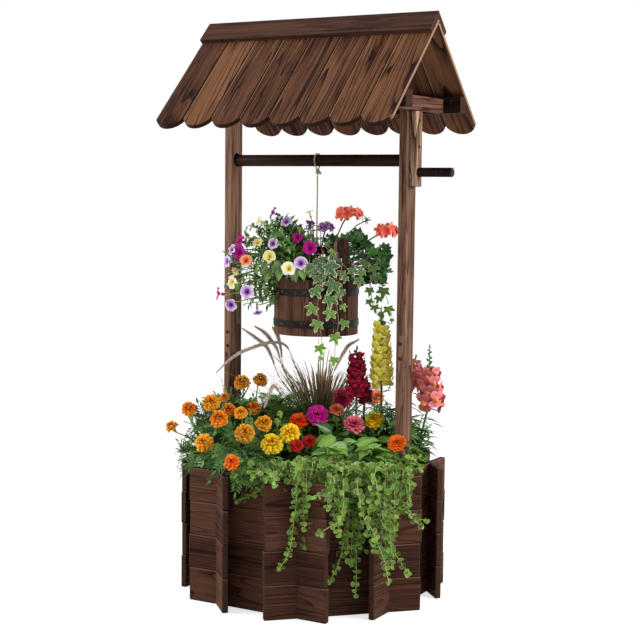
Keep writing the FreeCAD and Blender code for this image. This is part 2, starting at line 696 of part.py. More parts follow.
# Cuts away everything outside one arc at the foot of a roof board
def cut_scallop(body, label, sign, width):
    half = (size("roof_board") - size("roof_gap")) / 2
    way = -1 if sign else 1
    slope = size("roof_slope")
    deep = size("scallop_depth")
    radius = (half ** 2 + deep ** 2) / (2 * deep)
    margin = 2
    sketch = new_sketch(body, label + "_scallop_plan", "XY_Plane", "-1")
    points = [V(half, way * slope, 0), V(half + margin, way * slope, 0),
              V(half + margin, way * (slope + deep + margin), 0),
              V(-half - margin, way * (slope + deep + margin), 0),
              V(-half - margin, way * slope, 0), V(-half, way * slope, 0)]
    for first, second in zip(points, points[1:]):
        sketch.addGeometry(Part.LineSegment(first, second), False)
    # the arc is drawn anticlockwise, so its ends swap between the two slopes
    ends = (points[5], points[0]) if sign else (points[0], points[5])
    sketch.addGeometry(Part.Arc(ends[0], V(0, way * (slope + deep), 0), ends[1]), False)
    for edge in range(4):
        sketch.addConstraint(Sketcher.Constraint("Coincident", edge, 2, edge + 1, 1))
    left_end, right_end = (1, 2) if sign else (2, 1)
    sketch.addConstraint(Sketcher.Constraint("Coincident", 4, 2, 5, left_end))
    sketch.addConstraint(Sketcher.Constraint("Coincident", 0, 1, 5, right_end))
    low = sign + "Sizes.roof_slope"
    lowest = "%s(Sizes.roof_slope + Sizes.scallop_depth + %d)" % (sign, margin)
    side = "%s / 2" % width
    bound = [(0, 1, side, low), (1, 1, "%s + %d" % (side, margin), low),
             (2, 1, "%s + %d" % (side, margin), lowest),
             (3, 1, "-(%s + %d)" % (side, margin), lowest),
             (4, 1, "-(%s + %d)" % (side, margin), low), (4, 2, "-" + side, low)]
    for spot, (edge, end, across, up) in zip(points, bound):
        pin_point(sketch, edge, end, spot, across, up)
    number = sketch.addConstraint(Sketcher.Constraint("Radius", 5, radius))
    sketch.setExpression("Constraints[%d]" % number,
                         "((%s)^2 + Sizes.scallop_depth^2) / (2 * Sizes.scallop_depth)" % side)
    pocket(body, label + "_scallop", sketch)


# A ridge cap board, in the frame of the slope it lies on; the back one covers the top
# edge of the front one
def ridge_cap(label, sign):
    body = new_body(label)
    under = "Sizes.roof_thickness"
    over = "Sizes.roof_thickness + Sizes.cap_thickness"
    if sign:
        top_in = "0"
        top_out = "-Sizes.cap_thickness * Worked.double_cosine / Worked.double_sine"
    else:
        top_in = "-Sizes.cap_thickness / Worked.double_sine"
        top_out = "-Sizes.cap_thickness * Worked.pitch_rise"
    foot = sign + "Sizes.cap_width"
    corners = [(top_in, under), (foot, under), (foot, over), (top_out, over)]
    pad(body, label + "_length", outline(body, label + "_side", "YZ_Plane", corners),
        "Sizes.roof_length", True)
    slant = "Sizes.roof_pitch * 1 deg"
    tilt = (1, 0, 0) if sign else (-1, 0, 0)
    drop = "%s sin(%s) * %s" % ("" if sign else "-", slant, under)
    place(body, ("0", drop, "Sizes.ridge_height - %s * cos(%s)" % (under, slant)), tilt, slant)
    return node(body, label)


for index in range(8):
    roof_board("roof_board_front_%d" % (index + 1), "-", index, room_front)
for index in range(8):
    roof_board("roof_board_back_%d" % (index + 1), "", index, room_back)
ridge_cap("ridge_cap_front", "-")
ridge_cap("ridge_cap_back", "")

# Crossbar, from the blind hole in the left post to just short of the crank arm
bar = solid("Cylinder", "crossbar_rod",
            {"Radius": "Sizes.bar_diameter / 2",
             "Height": "2 * Worked.wall_inner - Sizes.bar_hole_wall - 2 * Sizes.bar_end_clear"},
            ("-Worked.wall_inner + Sizes.bar_hole_wall + Sizes.bar_end_clear", "0",
             "Worked.bar_height"))
bar.Placement.Rotation = FreeCAD.Rotation(V(0, 0, 1), V(1, 0, 0))
node(bar, "crossbar")

# Crank arm on the outer face of the right post, with its handle fixed in it
arm = new_body("crank_arm_blank")
arm_low = "Worked.arm_top - Sizes.arm_length"
arm_corners = [("-Sizes.arm_width / 2", arm_low), ("Sizes.arm_width / 2", arm_low),
               ("Sizes.arm_width / 2", "Worked.arm_top"),
               ("-Sizes.arm_width / 2", "Worked.arm_top")]
arm_blank = pad(arm, "arm_blank", outline(arm, "arm_side", "YZ_Plane", arm_corners,
                                          "Worked.wall_inner"), "Sizes.arm_thickness")
break_edges(arm, "arm_edges", arm_blank, every_edge)
arm_hole = circles(arm, "arm_hole", "YZ_Plane",
                   [("0", "Worked.grip_height", "Sizes.grip_diameter + 2 * Sizes.grip_play")],
                   "Worked.wall_inner - 1")
pocket(arm, "arm_bore", arm_hole)
arm_rooms = []
for level in ("Worked.arm_screw_high", "Worked.arm_screw_low"):
    arm_rooms.append(small_room("arm_room_%d" % (len(arm_rooms) + 1), (1, 0, 0),
                                ("Worked.wall_inner - 1", "0", level),
                                "Sizes.arm_thickness + 2"))
node(drilled("crank_arm", arm, arm_rooms), "crank_arm")

grip = new_body("crank_handle")
grip_start = "Worked.wall_inner + Sizes.grip_play"
grip_blank = pad(grip, "grip_blank",
                 circles(grip, "grip_section", "YZ_Plane",
                         [("0", "Worked.grip_height", "Sizes.grip_diameter")], grip_start),
                 "Sizes.arm_thickness + Sizes.grip_reach - Sizes.grip_play")
break_edges(grip, "grip_ends", grip_blank, lambda edge: len(edge.Vertexes) == 1)
node(grip, "crank_handle")


# Bucket: sixteen staves in a ring, two of them tall ears for the handle rod
def stave(label, height, riveted, ear):
    body = new_body(label)
    inner = "Worked.bucket_inner"
    outer = "Sizes.bucket_radius"
    groove_low = "Sizes.bucket_floor_rise"
    groove_high = "Sizes.bucket_floor_rise + Sizes.bucket_floor_thickness"
    deep = "Worked.bucket_inner + Sizes.croze_depth"
    corners = [(inner, "0"), (outer, "0"), (outer, height), (inner, height),
               (inner, groove_high), (deep, groove_high), (deep, groove_low),
               (inner, groove_low)]
    sketch = outline(body, label + "_profile", "XZ_Plane", corners)
    wedge = turned(body, label + "_wedge", sketch, "V_Axis", 22.5)
    doc.recompute()
    if ear:
        shoulders = []
        for number, edge in enumerate(wedge.Shape.Edges, start=1):
            ends = [vertex.Point for vertex in edge.Vertexes]
            at_top = min(end.z for end in ends) > size("ear_height") - 0.01
            if at_top and abs(ends[0].x - ends[1].x) > size("stave_thickness") / 2:
                shoulders.append("Edge%d" % number)
        rounded = body.newObject("PartDesign::Fillet", label + "_round_top")
        rounded.Base = (wedge, shoulders)
        rounded.setExpression("Radius", "Worked.ear_half - Sizes.ear_flat")
        wedge = rounded
    doc.recompute()
    upright = []
    for number, edge in enumerate(wedge.Shape.Edges, start=1):
        ends = [vertex.Point for vertex in edge.Vertexes]
        far_out = min(math.hypot(end.x, end.y) for end in ends) > size("bucket_radius") - 0.01
        if far_out and abs(ends[0].z - ends[1].z) > size("upper_hoop_rise"):
            upright.append("Edge%d" % number)
    eased = body.newObject("PartDesign::Chamfer", label + "_edges")
    eased.Base = (wedge, upright)
    eased.setExpression("Size", "Sizes.stave_edge")
    if ear:
        hole = circles(body, label + "_rod_hole", "YZ_Plane",
                       [("0", "Sizes.rod_rise", "Sizes.rod_diameter + 2 * Sizes.rod_play")],
                       "Worked.bucket_inner - 3")
        pocket(body, label + "_rod_bore", hole)
    if not riveted:
        return body
    rooms = []
    for level in ("Sizes.lower_hoop_rise", "Sizes.upper_hoop_rise"):
        rooms.append(small_room("%s_room_%d" % (label, len(rooms) + 1), (1, 0, 0),
                                ("Worked.bucket_inner - 3", "0", level),
                                "Sizes.stave_thickness + 6", "Sizes.rivet_hole"))
    return drilled(label, body, rooms)


plain_stave = stave("plain_stave", "Sizes.bucket_height", False, False)
riveted_stave = stave("riveted_stave", "Sizes.bucket_height", True, False)
ear_stave = stave("ear_stave", "Worked.ear_height", True, True)
ring = []
ears = []
for index in range(1, 17):
    if index % 8 == 0:
        source = ear_stave
    else:
        source = plain_stave if index % 2 else riveted_stave
    turn = FreeCAD.Placement(V(0, 0, 0), FreeCAD.Rotation(V(0, 0, 1), 10))
    piece = copy_of(source, "stave_%d" % index, turn)
    piece.setExpression("Placement.Rotation.Angle",
                        "(%g - Sizes.bucket_turn) * 1 deg" % (22.5 * index))
    piece.setExpression("Placement.Base.z", "Worked.bucket_base")
    if index % 8:
        ring.append(piece)
    else:
        ears.append(piece)
node(group("stave_ring", ring), "bucket_staves")
node(group("ear_pair", ears), "bucket_ears")

disc = solid("Cylinder", "bucket_disc",
             {"Radius": "Worked.bucket_inner + Sizes.croze_depth - Sizes.bucket_floor_play",
              "Height": "Sizes.bucket_floor_thickness"},
             ("0", "0", "Worked.bucket_base + Sizes.bucket_floor_rise"))
node(disc, "bucket_floor")


# Hoops: flat rings with eight rivet holes each
def hoop(label, middle):
    body = new_body(label + "_strip")
    rings = circles(body, label + "_plan", "XY_Plane",
                    [("0", "0", "2 * Worked.hoop_inner"), ("0", "0", "2 * Worked.hoop_outer")])
    pad(body, label + "_ring", rings, "Sizes.hoop_height")
    rooms = []
    for step in range(8):
        turn = math.radians(45 * step)
        way = (math.cos(turn), math.sin(turn), 0)
        inside = "(Sizes.bucket_radius - 3)"
        spot = ("%s * cos(%d deg)" % (inside, 45 * step),
                "%s * sin(%d deg)" % (inside, 45 * step), "Sizes.hoop_height / 2")
        rooms.append(small_room("%s_room_%d" % (label, step + 1), way, spot,
                                "Sizes.hoop_thickness + 6", "Sizes.rivet_hole"))
    band = drilled(label, body, rooms)
    place(band, ("0", "0", "Worked.bucket_base + %s - Sizes.hoop_height / 2" % middle),
          (0, 0, -1), "Sizes.bucket_turn * 1 deg")
    return node(band, label)


hoop("bucket_band_upper", "Sizes.upper_hoop_rise")
hoop("bucket_band_lower", "Sizes.lower_hoop_rise")

rivet_shank = prism("rivet_shank", 8, "Sizes.rivet_hole / 2 - Sizes.rivet_play",
                    "Sizes.rivet_length + Sizes.rivet_height / 2",
                    ("0", "0", "-Sizes.rivet_height / 2"))
rivet_head = stacked("rivet_head", 10, [
    ("Sizes.rivet_radius / 2", ("0", "0", "-Sizes.rivet_height")),
    ("Sizes.rivet_radius", ("0", "0", "0"))])
rivet = joined("rivet", [rivet_shank, rivet_head])
rivets = []
for band, level in enumerate(("Sizes.lower_hoop_rise", "Sizes.upper_hoop_rise")):
    for step in range(8):
        angle = math.radians(45 * step - size("bucket_turn"))
        inward = V(-math.cos(angle), -math.sin(angle), 0)
        turn = FreeCAD.Placement(V(0, 0, 0), FreeCAD.Rotation(V(0, 0, 1), inward))
        piece = copy_of(rivet, "rivet_%d_%d" % (band, step + 1), turn)
        around = "((%g - Sizes.bucket_turn) * 1 deg)" % (45 * step)
        piece.setExpression("Placement.Base.x", "Worked.hoop_outer * cos(%s)" % around)
        piece.setExpression("Placement.Base.y", "Worked.hoop_outer * sin(%s)" % around)
        piece.setExpression("Placement.Base.z", "Worked.bucket_base + " + level)
        rivets.append(piece)
node(group("rivet_group", rivets), "band_rivets")

rod = new_body("bucket_handle")
pad(rod, "rod_length", circles(rod, "rod_section", "YZ_Plane",
                               [("0", "0", "Sizes.rod_diameter")]),
    "2 * Sizes.bucket_radius", True)
place(rod, ("0", "0", "Worked.rod_height"), (0, 0, -1), "Sizes.bucket_turn * 1 deg")
node(rod, "bucket_handle")

# Twine: a loop knotted under the crossbar, a straight run, and a loop round the rod


def knot(name, middle):
    low = "%s - Sizes.knot_half_height" % middle
    high = "%s + Sizes.knot_half_height" % middle
    return stacked(name, 10, [
        ("0.6 * Sizes.knot_radius", ("0", "0", low)),
        ("Sizes.knot_radius", ("0", "0", "%s - 0.4 * Sizes.knot_half_height" % middle)),
        ("Sizes.knot_radius", ("0", "0", "%s + 0.4 * Sizes.knot_half_height" % middle)),
        ("0.6 * Sizes.knot_radius", ("0", "0", high))])


# An eight-sided section of the twine, square to its way; its loops lie across X
def twine_section(middle, way):
    radius = size("twine_diameter") / 2
    side = way.cross(V(1, 0, 0)).normalize()
    corners = []
    for step in range(9):
        turn = math.radians(45 * step + 22.5)
        corners.append(middle + V(1, 0, 0) * (radius * math.cos(turn))
                       + side * (radius * math.sin(turn)))
    corners[8] = corners[0]
    return Part.Wire(Part.makePolygon(corners))


# The loop over the crossbar: two straight legs from the knot, tangent to one round arc
def bar_loop_shape():
    loop = size("bar_loop")
    height = size("bar_height")
    drop = height - size("knot_height")
    slope = math.acos(loop / drop)
    touch = V(0, loop * math.sin(slope), height - loop * math.cos(slope))
    mirror = V(0, -touch.y, touch.z)
    start = V(0, 0, size("knot_height"))
    leg_up = Part.LineSegment(start, touch).toShape()
    arc = Part.Arc(touch, V(0, 0, height + loop), mirror).toShape()
    leg_down = Part.LineSegment(mirror, start).toShape()
    print("loop over the crossbar: radius %.2f, length %.1f" %
          (loop, leg_up.Length + arc.Length + leg_down.Length))
    way = touch - start
    back = start - mirror
    first_leg = Part.Wire([leg_up]).makePipeShell([twine_section(start, way)], True, False)
    bend = Part.Wire([arc]).makePipeShell([twine_section(touch, way)], True, False)
    second_leg = Part.Wire([leg_down]).makePipeShell([twine_section(mirror, back)], True, False)
    tail_way = V(0.8, -0.25, -0.5).normalize()
    tail_end = start + tail_way * size("knot_tail")
    tail_run = Part.Wire([Part.LineSegment(start, tail_end).toShape()])
    tail = tail_run.makePipeShell([twine_section(start, tail_way)], True, False)
    return first_leg.multiFuse([bend, second_leg, tail]).removeSplitter()


bar_loop = doc.addObject("Part::Feature", "bar_loop_twine")
bar_loop.Shape = bar_loop_shape()
bar_loop.Placement = FreeCAD.Placement()
node(joined("bar_loop_and_knot", [bar_loop, knot("bar_knot", "Worked.knot_height")]), "rope_loop")

node(prism("twine_run", 8, "Sizes.twine_diameter / 2",
           "Worked.knot_height - Worked.low_knot_height - 2 * Sizes.knot_half_height"
           " - 2 * Sizes.knot_clear",
           ("0", "0", "Worked.low_knot_height + Sizes.knot_half_height + Sizes.knot_clear")),
     "hanging_rope")

ring_body = new_body("rod_loop_ring")
section = []
for step in range(8):
    turn = "(%g deg)" % (45 * step + 22.5)
    section.append(("Sizes.twine_diameter / 2 * cos%s" % turn,
                    "Worked.rod_loop + Sizes.twine_diameter / 2 * sin%s" % turn))
ring_sketch = outline(ring_body, "rod_loop_section", "XZ_Plane", section)
turned(ring_body, "rod_loop_turned", ring_sketch, "H_Axis")
place(ring_body, ("0", "0", "Worked.rod_height"), (0, 0, -1), "Sizes.bucket_turn * 1 deg")
node(joined("rod_loop_and_knot", [ring_body, knot("low_knot", "Worked.low_knot_height")]),
     "handle_loop")

# Soil: it fills the tub up to below its rim, clear of the posts, and the bucket too
earth = new_body("soil_prism")
half_side = "(Worked.wall_inner - Sizes.soil_clear) * tan(22.5 deg)"
flat_side = "(Worked.wall_inner - Sizes.soil_clear)"
earth_corners = []
for first, second in ((flat_side, half_side), (half_side, flat_side)):
    earth_corners.append((first, second))
earth_corners += [("-" + half_side, flat_side), ("-" + flat_side, half_side),
                  ("-" + flat_side, "-" + half_side), ("-" + half_side, "-" + flat_side),
                  (half_side, "-" + flat_side), (flat_side, "-" + half_side)]
pad(earth, "soil_depth", outline(earth, "soil_plan", "XY_Plane", earth_corners,
                                 "Worked.floor_top"), "Worked.soil_top - Worked.floor_top")
post_spaces = []
for side in (-1, 1):
    start = "Worked.post_inner - Sizes.post_soil_clear" if side > 0 else "-Worked.wall_inner"
    post_spaces.append(solid("Box", "post_room_%d" % (side + 2),
                             {"Length": "Sizes.post_thickness + Sizes.post_soil_clear",
                              "Width": "Sizes.post_depth + 2 * Sizes.post_soil_clear",
                              "Height": "Worked.rim_height"},
                             (start, "-Sizes.post_depth / 2 - Sizes.post_soil_clear", "0")))
node(cut("soil_block", earth, joined("post_spaces", post_spaces)), "soil_bed")

node(solid("Cylinder", "bucket_earth",
           {"Radius": "Worked.bucket_inner - Sizes.soil_clear",
            "Height": "Worked.bucket_soil_top - Worked.bucket_floor_top"},
           ("0", "0", "Worked.bucket_floor_top")), "bucket_soil")


# Plants, as simple closed shapes. A bush swells to its belly and closes again above it;
# its lean carries the belly sideways. Sizes come from the planting sheet under its name.
bush_levels = ((0, 0, None), (0.45, 1, 1), (0.75, 0.6, 0.9), (1, 0.2, 0.5))


def bush(name, base):
    rings = []
    for level, lean, share in bush_levels:
        radius = "%g * Planting.%s_belly" % (share, name) if share else "Planting.%s_foot" % name
        rings.append((radius, ("Planting.%s_x + %g * Planting.%s_lean_x" % (name, lean, name),
                               "Planting.%s_y + %g * Planting.%s_lean_y" % (name, lean, name),
                               "%s + %g * Planting.%s_height" % (base, level, name))))
    return stacked(name + "_bush", 12, rings)


def spire(name, base):
    middle = ("Planting.%s_x" % name, "Planting.%s_y" % name)
    top = "%s + Planting.%s_height" % (base, name)
    return stacked(name + "_spire", 10, [("Planting.%s_foot" % name, middle + (base,)),
                                         ("Planting.%s_tip" % name, middle + (top,))])


# The height of what grows up to just below the bucket
def under_bucket(room):
    return "=Worked.bucket_base - Worked.soil_top - Sizes." + room


bushes = [
    ("marigold", -104, -72, 40, 84, 162, -48, -34),
    ("zinnia_left", -8, -128, 24, 46, 118, 0, -8),
    ("zinnia_middle", 66, -110, 26, 50, 140, 4, -14),
    ("zinnia_right", 140, -62, 26, 35, 130, 6, -6),
    ("petunia", -50, -34, 36, 76, 182, -34, -24),
    ("petunia_back", -14, 52, 26, 44, 110, -4, 12),
    ("geranium", 66, -8, 24, 54, 140, 20, -6),
]
spires = [
    ("grass", -24, 62, 26, 62, under_bucket("grass_room")),
    ("snapdragon_dark", 106, -24, 14, 7, under_bucket("snapdragon_room")),
    ("snapdragon_yellow", 148, 6, 16, 8, 330),
    ("snapdragon_pink", 156, 96, 24, 11, 255),
    ("snapdragon_back", 110, 136, 20, 10, 200),
]
planting_rows = []
for name, x, y, foot, belly, height, lean_x, lean_y in bushes:
    planting_rows.append((name + "_x", x, "middle of its foot, along the ridge"))
    planting_rows.append((name + "_y", y, "middle of its foot, front to back"))
    planting_rows.append((name + "_foot", foot, "radius at its foot"))
    planting_rows.append((name + "_belly", belly, "radius at its widest"))
    planting_rows.append((name + "_height", height, "foot to top"))
    planting_rows.append((name + "_lean_x", lean_x, "lean along the ridge"))
    planting_rows.append((name + "_lean_y", lean_y, "lean front to back"))
for name, x, y, foot, tip, height in spires:
    planting_rows.append((name + "_x", x, "middle of its foot, along the ridge"))
    planting_rows.append((name + "_y", y, "middle of its foot, front to back"))
    planting_rows.append((name + "_foot", foot, "radius at its foot"))
    planting_rows.append((name + "_tip", tip, "radius at its top"))
    planting_rows.append((name + "_height", height, "foot to top"))
planting_rows.append(("trail_drop", 190, "rim down to the tips of the trailing jenny"))
planting_rows.append(("trail_hump", 34, "rim up to the top of the trailing jenny"))
planting_rows.append(("trail_thickness", 24, "trailing jenny, in to out"))
planting_rows.append(("trail_root", 20, "inner wall face to where the jenny roots"))
planting_rows.append(("trail_half", 64, "half the jenny's width against the wall"))
planting_rows.append(("trail_lean", 4, "how far the jenny's top lies in from the wall"))
planting_rows.append(("ivy_drop", 132, "bucket rim down to the tips of the ivy"))
planting_rows.append(("ivy_root", 12, "inside of the staves to where the ivy roots"))
planting_rows.append(("ivy_rise", 26, "bucket rim up to the top of the ivy"))
planting_rows.append(("ivy_half", 34, "half the width of the ivy"))
planting_rows.append(("ivy_thickness", 14, "ivy, in to out"))
planting_rows.append(("ivy_turn", 56, "from the right of the bucket round to the ivy, in degrees"))
planting = filled_sheet("Planting", planting_rows)
doc.recompute()

node(bush("marigold", "Worked.soil_top"), "marigolds")
zinnia_bushes = [bush(name, "Worked.soil_top")
                 for name in ("zinnia_left", "zinnia_middle", "zinnia_right")]
node(group("zinnia_group", zinnia_bushes), "zinnias")
node(spire("grass", "Worked.soil_top"), "fountain_grass")
snapdragon_spires = [spire(name, "Worked.soil_top") for name, *rest in spires[1:]]
node(group("snapdragon_group", snapdragon_spires), "snapdragons")


# Creeping jenny: it roots behind the rim, lies over it and hangs between the tails
def trailing_plant(label):
    body = new_body(label)
    near = "(Sizes.wall_apothem + Sizes.plant_clear)"
    away = "(Sizes.wall_apothem + Sizes.plant_clear + Planting.trail_thickness)"
    corners = [("-Planting.trail_half", "-" + near), ("Planting.trail_half", "-" + near),
               ("Planting.trail_half - Planting.trail_thickness", "-" + away),
               ("-(Planting.trail_half - Planting.trail_thickness)", "-" + away)]
    curtain = outline(body, label + "_plan", "XY_Plane", corners,
                      "Worked.rim_height - Planting.trail_drop")
    pad(body, label + "_curtain", curtain, "Planting.trail_drop + 1")
    low = "Worked.rim_height + Sizes.plant_clear"
    high = "Worked.rim_height + Planting.trail_hump"
    inner = "-(Worked.wall_inner - Sizes.plant_clear)"
    root = "-(Worked.wall_inner - Planting.trail_root)"
    lean = "-(Worked.wall_inner + Planting.trail_lean)"
    hump = outline(body, label + "_side", "YZ_Plane",
                   [("-" + away, low), (inner, low), (inner, "Worked.soil_top"),
                    (root, "Worked.soil_top"), (root, low), (lean, high),
                    ("-" + near, high)])
    pad(body, label + "_hump", hump, "2 * (Planting.trail_half - Planting.trail_thickness)",
        True)
    return body


jenny = trailing_plant("jenny_trail")
curtains = []
for side in (0, 1):
    turn = FreeCAD.Placement(V(0, 0, 0), FreeCAD.Rotation(V(0, 0, 1), 45 * side))
    curtains.append(copy_of(jenny, "jenny_%d" % (side + 1), turn))
node(group("jenny_group", curtains), "creeping_jenny")

# Room kept free for the bucket, its ears, rod and twine, cut from the bucket's plants
reach = "(Worked.hoop_outer + Sizes.rivet_height + Sizes.plant_clear)"
pail = prism("bucket_room", 24, reach + " / cos(7.5 deg)",
             "Sizes.bucket_height + Sizes.plant_clear + Sizes.hang_room",
             ("0", "0", "Worked.bucket_base - Sizes.hang_room"))
ear_room = new_body("ear_room")
ear_room_top = "Worked.ear_height + Sizes.ear_clear"
pad(ear_room, "ear_room_width",
    outline(ear_room, "ear_room_side", "XZ_Plane",
            [("-" + reach, "0"), (reach, "0"), (reach, ear_room_top),
             ("-" + reach, ear_room_top)]),
    "2 * (Worked.ear_half + Sizes.ear_side_clear)", True)
place(ear_room, ("0", "0", "Worked.bucket_base"), (0, 0, -1), "Sizes.bucket_turn * 1 deg")
twine_room = prism("twine_room", 8, "Sizes.twine_room / cos(22.5 deg)", "Sizes.twine_hang",
                   ("0", "0", "Worked.bucket_rim"))
room = joined("bucket_rooms", [pail, ear_room, twine_room])
petunia_foot = "Worked.bucket_rim - Sizes.petunia_drop"
petunia_back_foot = "Worked.bucket_rim - Sizes.petunia_back_drop"
petunia_bushes = joined("petunia_bushes", [bush("petunia", petunia_foot),
                                           bush("petunia_back", petunia_back_foot)])
node(cut("petunia_mound", petunia_bushes, room), "petunias")
node(cut("geranium_mound", bush("geranium", "Worked.bucket_rim"), room), "geranium")

ivy = new_body("ivy_trail")
ivy_low = "Worked.bucket_rim - Planting.ivy_drop"
ivy_away = "%s + Planting.ivy_thickness" % reach
ivy_rim = "Worked.bucket_rim + Sizes.plant_clear"
ivy_top = "Worked.bucket_rim + Planting.ivy_rise"
ivy_root = "Worked.bucket_inner - Planting.ivy_root"
ivy_corners = [(reach, ivy_low), (ivy_away, ivy_low), (ivy_away, ivy_top),
               (ivy_root, ivy_top), (ivy_root, ivy_rim), (reach, ivy_rim)]
pad(ivy, "ivy_width", outline(ivy, "ivy_side", "XZ_Plane", ivy_corners),
    "2 * Planting.ivy_half", True)
place(ivy, ("0", "0", "0"), (0, 0, -1), "Planting.ivy_turn * 1 deg")
node(cut("ivy_mound", ivy, room), "ivy")


# Everything is checked before anything is written
def check_and_write():
    doc.recompute()
    for part in doc.Objects:
        if "Invalid" in part.State or "Error" in part.State:
            raise ValueError("%s did not build" % part.Name)
    for part in nodes:
        shape = part.Shape
        if shape.isNull() or not shape.isValid() or not shape.Solids:
            raise ValueError("%s has no sound solid" % part.Label)
    for part in nodes:
        part.Shape.exportStep("parts/%s.step" % part.Label)
    print("%d nodes, %d solids" % (len(nodes), sum(len(part.Shape.Solids) for part in nodes)))


check_and_write()
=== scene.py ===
import math
import random

import bpy
import numpy as np
from mathutils import Matrix, Vector


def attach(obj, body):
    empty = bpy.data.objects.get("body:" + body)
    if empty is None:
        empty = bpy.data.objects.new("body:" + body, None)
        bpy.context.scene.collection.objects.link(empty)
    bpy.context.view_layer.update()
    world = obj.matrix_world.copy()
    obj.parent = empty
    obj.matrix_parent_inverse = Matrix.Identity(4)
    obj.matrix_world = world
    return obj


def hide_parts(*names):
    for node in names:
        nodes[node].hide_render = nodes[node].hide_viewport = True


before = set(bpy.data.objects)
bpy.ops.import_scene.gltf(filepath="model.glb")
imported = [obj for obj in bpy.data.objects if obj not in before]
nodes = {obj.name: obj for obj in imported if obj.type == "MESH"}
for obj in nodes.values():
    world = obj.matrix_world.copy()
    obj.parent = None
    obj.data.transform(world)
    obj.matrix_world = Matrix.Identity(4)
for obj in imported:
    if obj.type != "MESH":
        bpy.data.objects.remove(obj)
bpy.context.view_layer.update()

# The planter's finishes, twine, soil and plants around its fixed woodwork. Lengths are in
# metres, and tables of places in millimetres. +X runs along the ridge towards the crank,
# -Y is the front, +Z is up.
up = Vector((0, 0, 1))
fullTurn = 2 * math.pi
leafTurn = 2.4    # from one leaf or petal to the next round a stalk
tubSoil, bucketSoil = 0.232, 0.619    # where plants leave the soil

# Where the photograph was taken from
view = {"azimuth": 29.815, "distance": 2.8701, "height": 0.8077, "sideways": 0.0081,
        "pitch": -5.238, "roll": 0.607, "lens": 80.443, "sensor": 36}
turn = math.radians(view["azimuth"])
across = Vector((math.cos(turn), math.sin(turn), 0))
towards = Vector((math.sin(turn), -math.cos(turn), 0))
eye = towards * view["distance"] + across * view["sideways"] + up * view["height"]


def addCamera():
    data = bpy.data.cameras.new("photoCamera")
    data.lens = view["lens"]
    data.sensor_width = view["sensor"]
    camera = bpy.data.objects.new("photoCamera", data)
    bpy.context.scene.collection.objects.link(camera)
    level = (Matrix.Rotation(turn, 4, "Z")
             @ Matrix.Rotation(math.radians(90 + view["pitch"]), 4, "X"))
    camera.matrix_world = (Matrix.Translation(eye) @ level
                           @ Matrix.Rotation(math.radians(view["roll"]), 4, "Z"))
    bpy.context.scene.camera = camera


# What is seen at (side, height) of the upright plane through the middle, moved along the
# line of sight to an upright plane that faces some way and stands that far out. Millimetres.
def seenAt(side, height, near, facing=towards):
    spot = across * (side / 1000) + up * (height / 1000)
    sight = eye - spot
    return spot + sight * ((near / 1000 - spot.dot(facing)) / sight.dot(facing))


def selectNone():
    bpy.ops.object.select_all(action="DESELECT")


def named(name):
    piece = bpy.context.object
    piece.name = piece.data.name = name
    return piece


# Colours are written as in a paint program
def paint(text):
    channels = [int(text[i:i + 2], 16) / 255 for i in (1, 3, 5)]
    return [c / 12.92 if c < 0.04045 else ((c + 0.055) / 1.055) ** 2.4 for c in channels] + [1]


# A value in a node tree: arithmetic on it adds math nodes to the tree
class Signal:
    def __init__(self, socket):
        self.socket, self.tree = socket, socket.id_data

    def other(self, name):
        return Signal(self.socket.node.outputs[name])

    def __add__(self, value):
        return maths("ADD", self, value)

    def __sub__(self, value):
        return maths("SUBTRACT", self, value)

    def __rsub__(self, value):
        return maths("SUBTRACT", value, self)

    def __mul__(self, value):
        return maths("MULTIPLY", self, value)

    def __truediv__(self, value):
        return maths("DIVIDE", self, value)

    def __pow__(self, value):
        return maths("POWER", self, value)

    def __abs__(self):
        return maths("ABSOLUTE", self)


def wire(socket, value):
    if isinstance(value, Signal):
        value.tree.links.new(value.socket, socket)
    else:
        socket.default_value = paint(value) if isinstance(value, str) else value


# Adds a node with its settings, and its inputs by name or number
def added(tree, kind, inputs, output=0, **settings):
    node = tree.nodes.new("ShaderNode" + kind)
    for name, value in settings.items():
        setattr(node, name, value)
    for name, value in inputs.items():
        wire(node.inputs[name], value)
    return Signal(node.outputs[output])


def maths(operation, *values, clamp=False):
    tree = next(value.tree for value in values if isinstance(value, Signal))
    return added(tree, "Math", dict(enumerate(values)), operation=operation, use_clamp=clamp)


def coordinates(tree, kind="Object"):
    return added(tree, "TexCoord", {}, kind)


def tintOf(tree):
    return added(tree, "Attribute", {}, "Fac", attribute_name="tint")


def turned(vector, angles):
    angles = [math.radians(a) for a in angles]
    return added(vector.tree, "Mapping", {"Vector": vector, "Rotation": angles})


def split(vector):
    node = added(vector.tree, "SeparateXYZ", {0: vector}).socket.node
    return [Signal(socket) for socket in node.outputs]


def combined(*parts):
    return added(parts[0].tree, "CombineXYZ", dict(enumerate(parts)))


def cloud(vector, scale, detail=2.0, rough=0.5):
    return added(vector.tree, "TexNoise", {"Vector": vector, "Scale": scale, "Detail": detail,
                                           "Roughness": rough})


def between(value, low, high, newLow=0.0, newHigh=1.0):
    return added(value.tree, "MapRange", {"Value": value, "From Min": low, "From Max": high,
                                          "To Min": newLow, "To Max": newHigh})


def blended(share, first, second):
    return added(share.tree, "Mix", {0: share, 6: first, 7: second}, 2, data_type="RGBA")


def ramp(value, *stops):
    tone = added(value.tree, "ValToRGB", {0: value})
    band = tone.socket.node.color_ramp
    while len(band.elements) < len(stops):
        band.elements.new(0.5)
    for element, (place, colour) in zip(band.elements, stops):
        element.position = place
        element.color = paint(colour)
    return tone


def bump(height, strength, distance):
    return added(height.tree, "Bump", {"Height": height, "Strength": strength,
                                       "Distance": distance})


def newMaterial(name):
    material = bpy.data.materials.new(name)
    material.use_nodes = True
    return material, material.node_tree


